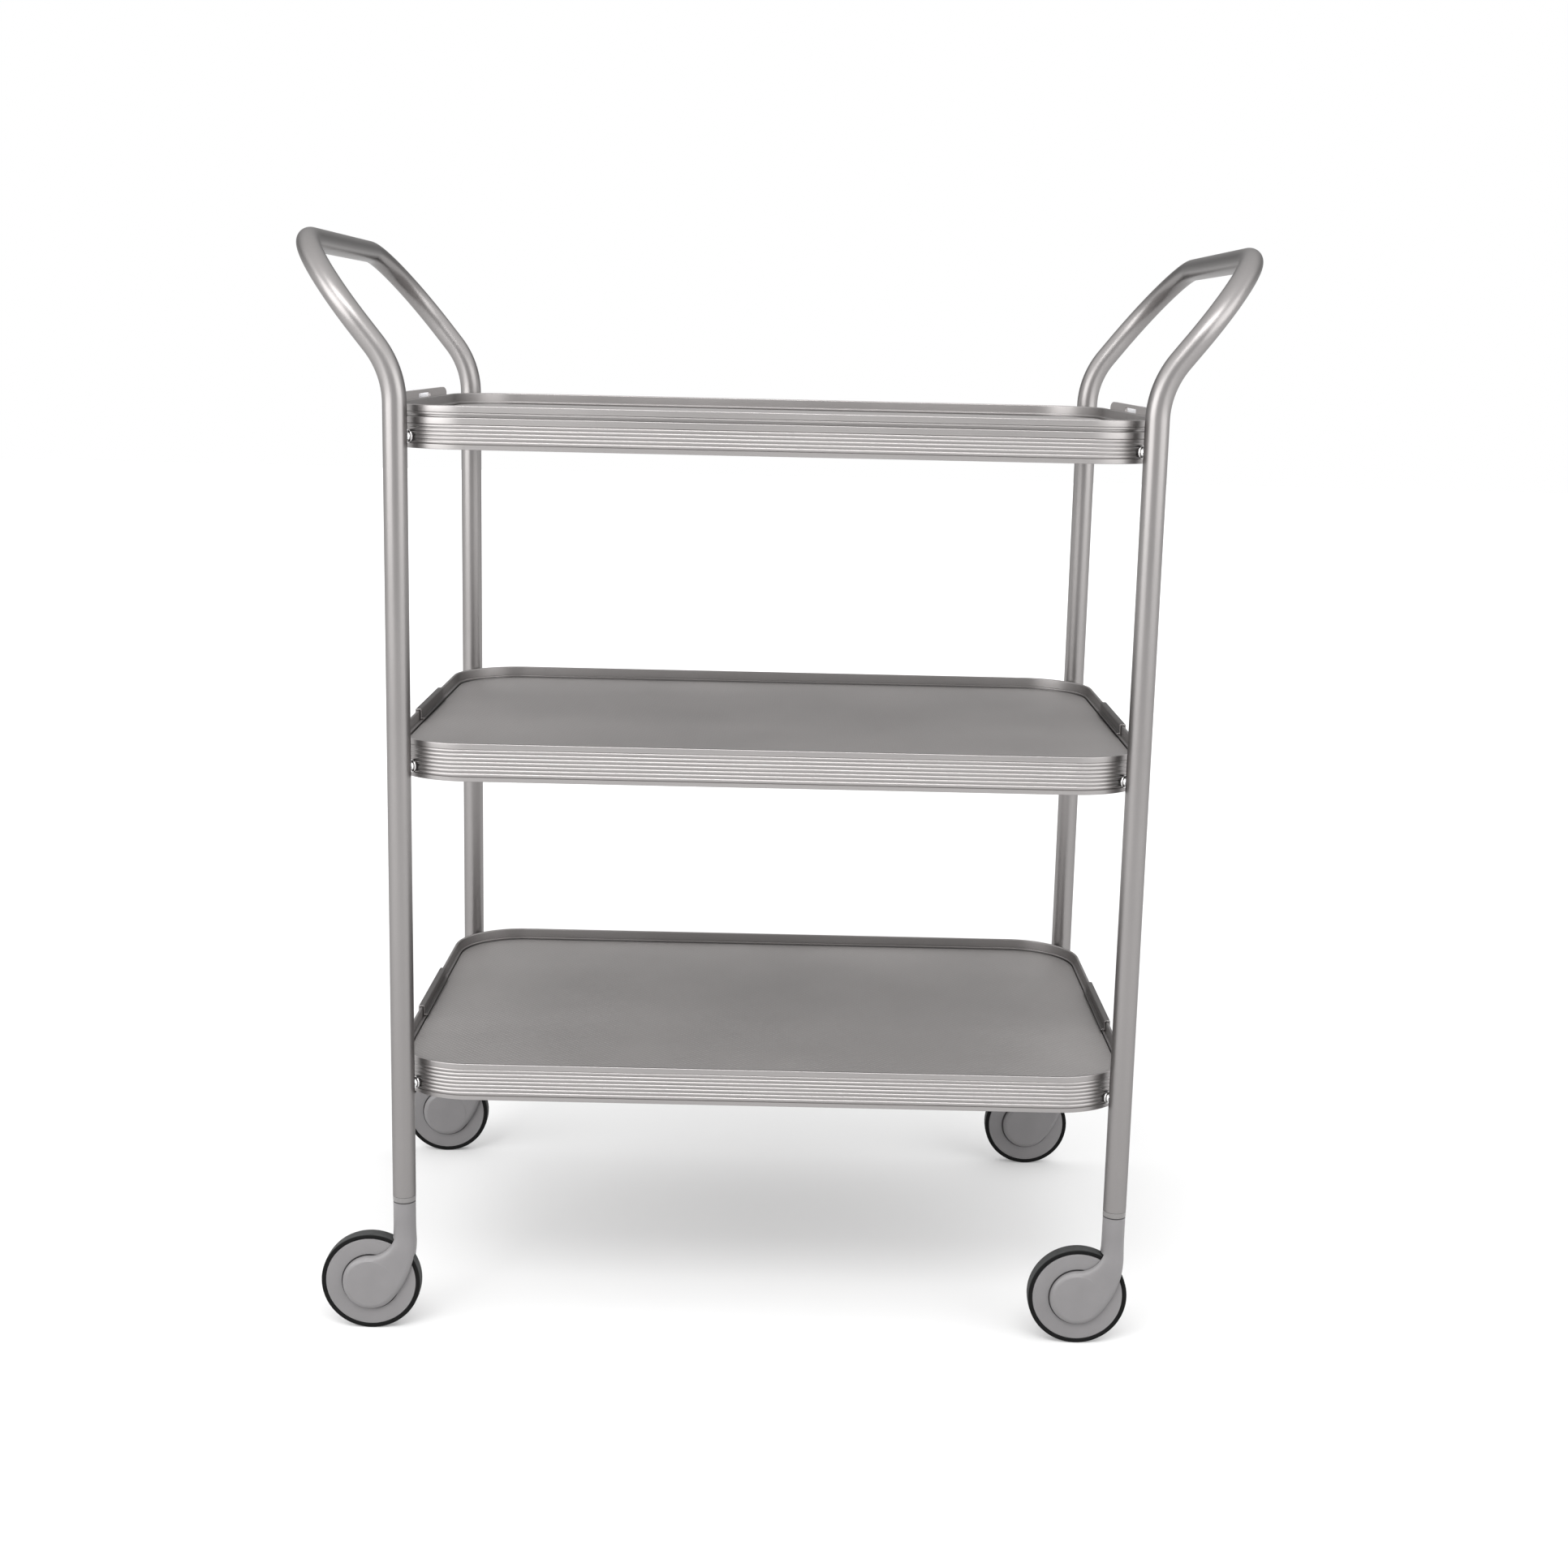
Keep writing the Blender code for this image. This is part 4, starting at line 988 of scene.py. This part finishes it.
def fork_blank():
    """Solid fork: a smooth front surface over the outline, mirrored to the back."""
    outline = np.array(fork_outline())
    points, triangles = filled(fork_points(outline), len(outline))
    depth = fork_depth(points, outline_distance(points, outline))
    shape = bmesh.new()
    front = [shape.verts.new((x, -y, z)) for (x, z), y in zip(points, depth)]
    back = [shape.verts.new((x, y, z)) for (x, z), y in zip(points, depth)]
    edges = set()
    for triangle in triangles:
        shape.faces.new([front[index] for index in triangle])
        shape.faces.new([back[index] for index in reversed(triangle)])
        edges.update(zip(triangle, triangle[1:] + triangle[:1]))
    for first, second in sorted(edges):
        if (second, first) not in edges:
            shape.faces.new((front[second], front[first], back[first], back[second]))
    return shape


def lies_inside(point, outline):
    """Whether a point lies inside the closed outline, by counting crossings."""
    x, z = point
    start, end = outline, np.roll(outline, -1, axis=0)
    spans = (start[:, 1] > z) != (end[:, 1] > z)
    start, end = start[spans], end[spans]
    crossings = start[:, 0] + (z - start[:, 1]) / (end[:, 1] - start[:, 1]) * (end[:, 0] - start[:, 0])
    return bool((crossings > x).sum() % 2)


def filled(points, border):
    """Triangles over the points, inside the loop of the first ones."""
    loop = list(range(border))
    verts, _, faces, _, _, _ = geometry.delaunay_2d_cdt(
        [Vector(point) for point in points], [], [loop], 1, 1e-7)
    return np.array([tuple(vert) for vert in verts]), [tuple(face) for face in faces]


def cylinder(name, radius, length, sides, matrix):
    shape = bmesh.new()
    bmesh.ops.create_cone(shape, cap_ends=True, segments=sides, radius1=radius, radius2=radius,
                          depth=length, matrix=matrix)
    return piece_from(name, shape, None)


def fork_mesh():
    """The fork with its wheel slot and its swivel pin."""
    fork = piece_from("fork_blank", fork_blank(), None)
    pin_foot = STEM_TOP_Z - PIN_ROOT
    pin_place = Matrix.Translation((0, 0, (PIN_TOP_Z + pin_foot) / 2))
    pin = cylinder("pin", PIN_RADIUS, PIN_TOP_Z - pin_foot, PIN_SIDES, pin_place)
    wheel_place = Matrix.Translation((-TRAIL, 0, WHEEL_Z)) @ Matrix.Rotation(math.pi / 2, 4, "X")
    slot = cylinder("slot", SLOT_RADIUS, 2 * SLOT_HALF_WIDTH, SLOT_SIDES, wheel_place)
    return combined(fork, [(slot, "DIFFERENCE"), (pin, "UNION")])


def turned_mesh(name, corners, material):
    shape = turned(rounded(corners), WHEEL_SIDES)
    bmesh.ops.recalc_face_normals(shape, faces=shape.faces)
    mesh = bpy.data.meshes.new(name)
    shape.to_mesh(mesh)
    shape.free()
    mesh.materials.append(material)
    return mesh


def caster_meshes(materials):
    bore = AXLE_RADIUS + FIT_GAP
    seat = WHEEL_DISC_RADIUS + FIT_GAP
    half, side = WHEEL_HALF_WIDTH, TYRE_HALF_WIDTH
    dish = [(bore, DISH_HALF_WIDTH, EDGE_ROUND), (DISH_RADIUS, DISH_HALF_WIDTH, EDGE_ROUND),
            (DISH_RADIUS, half, DISH_ROUND), (WHEEL_DISC_RADIUS, half, RIM_ROUND),
            (WHEEL_DISC_RADIUS, SEAT_HALF_WIDTH, 0), (seat + SEAT_RIB, SEAT_HALF_WIDTH, 0)]
    wheel = dish + [(radius, -along, blend) for radius, along, blend in reversed(dish)]
    bead = [(seat + SEAT_RIB + FIT_GAP, SEAT_HALF_WIDTH + FIT_GAP, 0),
            (seat, SEAT_HALF_WIDTH + FIT_GAP, 0), (seat, side, TYRE_INNER_ROUND),
            (TYRE_RADIUS - TREAD_CROWN, side, TREAD_ROUND), (TYRE_RADIUS, 0.0, 0.0)]
    tyre = bead + [(radius, -along, blend) for radius, along, blend in reversed(bead[:-1])]
    flange_top = LEG_FOOT_Z - FIT_GAP
    socket = [(PIN_RADIUS + FIT_GAP, COLLAR_Z, 0), (TUBE_RADIUS, COLLAR_Z, 0.0006),
              (TUBE_RADIUS, flange_top, 0.0003), (TUBE_RADIUS - TUBE_WALL - FIT_GAP, flange_top, 0),
              (TUBE_RADIUS - TUBE_WALL - FIT_GAP, SOCKET_TOP_Z, 0.0005),
              (PIN_RADIUS + FIT_GAP, SOCKET_TOP_Z, 0)]
    fork = fork_mesh()
    fork.materials.append(materials["nylon"])
    return {"fork": fork,
            "wheel": turned_mesh("wheel_disc", wheel, materials["nylon"]),
            "tyre": turned_mesh("tyre", tyre, materials["tyre"]),
            "collar": turned_mesh("leg_collar", socket, materials["collar"])}


def build_casters(materials):
    meshes = caster_meshes(materials)
    for end_name, end in ENDS.items():
        for side_name, side in SIDES.items():
            where = end_name + "_" + side_name
            foot = Matrix.Translation((side * LEG_X, end * LEG_Y, 0))
            hub = (Matrix.Translation((side * LEG_X - TRAIL, end * LEG_Y, WHEEL_Z))
                   @ Matrix.Rotation(math.pi / 2, 4, "X"))
            parts = (("collar", foot, "cart", "collar_plastic", "caster_socket_"),
                     ("fork", foot, "caster_" + where, "grey_nylon", "caster_fork_"),
                     ("wheel", hub, "wheel_" + where, "grey_nylon", "caster_wheel_"),
                     ("tyre", hub, "wheel_" + where, "tyre", "caster_tyre_"))
            for part, matrix, body, slot, node in parts:
                piece = placed(part + "_" + where, meshes[part], None, matrix)
                dress(piece, body, slot, node + where)
            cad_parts["caster_axle_" + where].data.materials.clear()
            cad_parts["caster_axle_" + where].data.materials.append(materials["axle"])


# Stage, light and camera

def build_stage():
    shape = bmesh.new()
    bmesh.ops.create_grid(shape, x_segments=4, y_segments=4, size=FLOOR_HALF)
    floor = piece_from("studio_floor", shape, None)
    nodes = Nodes("studio_floor")
    nodes.colours(nodes.noise("Object", 0.8, 2.0), FLOOR_DARK, FLOOR_LIGHT)
    nodes.shader.inputs["Roughness"].default_value = 0.9
    nodes.shader.inputs["Specular IOR Level"].default_value = 0.0
    nodes.shader.inputs["Emission Color"].default_value = (1.0, 1.0, 1.0, 1.0)
    reach = nodes.add("VectorMath", operation="LENGTH")
    nodes.link(nodes.where.outputs["Object"], reach.inputs[0])
    glow = nodes.ranged(reach.outputs["Value"], FLOOR_GLOW_NEAR, FLOOR_GLOW_FAR, 0.8, 3.0)
    nodes.link(glow, nodes.shader.inputs["Emission Strength"])
    floor.data.materials.append(nodes.material)


def build_world():
    """White backdrop for the camera; a softer studio for reflections and fill."""
    world = bpy.data.worlds.new("studio")
    world.use_nodes = True
    bpy.context.scene.world = world
    tree = world.node_tree
    new, link = tree.nodes.new, tree.links.new
    fill = tree.nodes["Background"]
    fill.inputs["Strength"].default_value = 1.0
    where = new("ShaderNodeTexCoord")
    split = new("ShaderNodeSeparateXYZ")
    link(where.outputs["Generated"], split.inputs[0])
    ramp = new("ShaderNodeValToRGB")
    while len(ramp.color_ramp.elements) < len(ROOM_TONES):
        ramp.color_ramp.elements.new(1.0)
    for element, (height, tone) in zip(ramp.color_ramp.elements, ROOM_TONES):
        element.position = height
        element.color = (tone, tone, tone, 1.0)
    link(split.outputs["Z"], ramp.inputs["Fac"])
    link(ramp.outputs[0], fill.inputs["Color"])
    front = new("ShaderNodeMapRange")
    front.inputs["From Min"].default_value = 1.0
    front.inputs["From Max"].default_value = -1.0
    front.inputs["To Min"].default_value = BACK_SHARE
    front.inputs["To Max"].default_value = FRONT_SHARE
    link(split.outputs["Y"], front.inputs["Value"])
    beside = new("ShaderNodeMath")
    beside.operation = "ABSOLUTE"
    link(split.outputs["X"], beside.inputs[0])
    side = new("ShaderNodeMapRange")
    side.interpolation_type = "SMOOTHSTEP"
    side.inputs["From Min"].default_value = SIDE_START
    side.inputs["To Max"].default_value = SIDE_GAIN
    link(beside.outputs[0], side.inputs["Value"])
    total = new("ShaderNodeMath")
    link(front.outputs[0], total.inputs[0])
    link(side.outputs[0], total.inputs[1])
    link(total.outputs[0], fill.inputs["Strength"])
    backdrop = new("ShaderNodeBackground")
    backdrop.inputs["Color"].default_value = (1.0, 1.0, 1.0, 1.0)
    path = new("ShaderNodeLightPath")
    choice = new("ShaderNodeMixShader")
    link(path.outputs["Is Camera Ray"], choice.inputs["Fac"])
    link(fill.outputs[0], choice.inputs[1])
    link(backdrop.outputs[0], choice.inputs[2])
    link(choice.outputs[0], tree.nodes["World Output"].inputs["Surface"])


def add_box(name, location, target, energy, width, height):
    """A softbox: a rectangular area light that looks from its place at a target."""
    data = bpy.data.lights.new(name, "AREA")
    data.energy = energy
    data.shape = "RECTANGLE"
    data.size = width
    data.size_y = height
    lamp = bpy.data.objects.new(name, data)
    bpy.context.collection.objects.link(lamp)
    lamp.location = location
    lamp.rotation_euler = (Vector(target) - Vector(location)).to_track_quat("-Z", "Y").to_euler()


def build_lights():
    add_box("left_box", *LEFT_BOX)
    add_box("right_box", *RIGHT_BOX)
    add_box("front_box", *FRONT_BOX)


def build_camera():
    data = bpy.data.cameras.new("camera")
    data.sensor_width = SENSOR_WIDTH
    data.lens = CAMERA_LENS
    camera = bpy.data.objects.new("camera", data)
    bpy.context.collection.objects.link(camera)
    forward = Vector((math.sin(CAMERA_YAW) * math.cos(CAMERA_PITCH),
                      math.cos(CAMERA_YAW) * math.cos(CAMERA_PITCH), -math.sin(CAMERA_PITCH)))
    right = Vector((math.cos(CAMERA_YAW), -math.sin(CAMERA_YAW), 0))
    right = math.cos(CAMERA_ROLL) * right + math.sin(CAMERA_ROLL) * forward.cross(right)
    up = right.cross(forward)
    turn = Matrix((right, up, -forward)).transposed().to_4x4()
    camera.matrix_world = Matrix.Translation(CAMERA_PLACE) @ turn
    bpy.context.scene.camera = camera


def main():
    materials = make_materials()
    build_side_frames(materials)
    build_tray_rims(materials)
    build_hoops(materials)
    build_serving_rims(materials)
    build_panels(materials)
    build_joint_clips(materials)
    build_tray_handles(materials)
    build_bolts(materials)
    build_casters(materials)
    build_stage()
    build_world()
    build_lights()
    build_camera()
    bpy.context.scene.view_settings.view_transform = "Standard"


main()
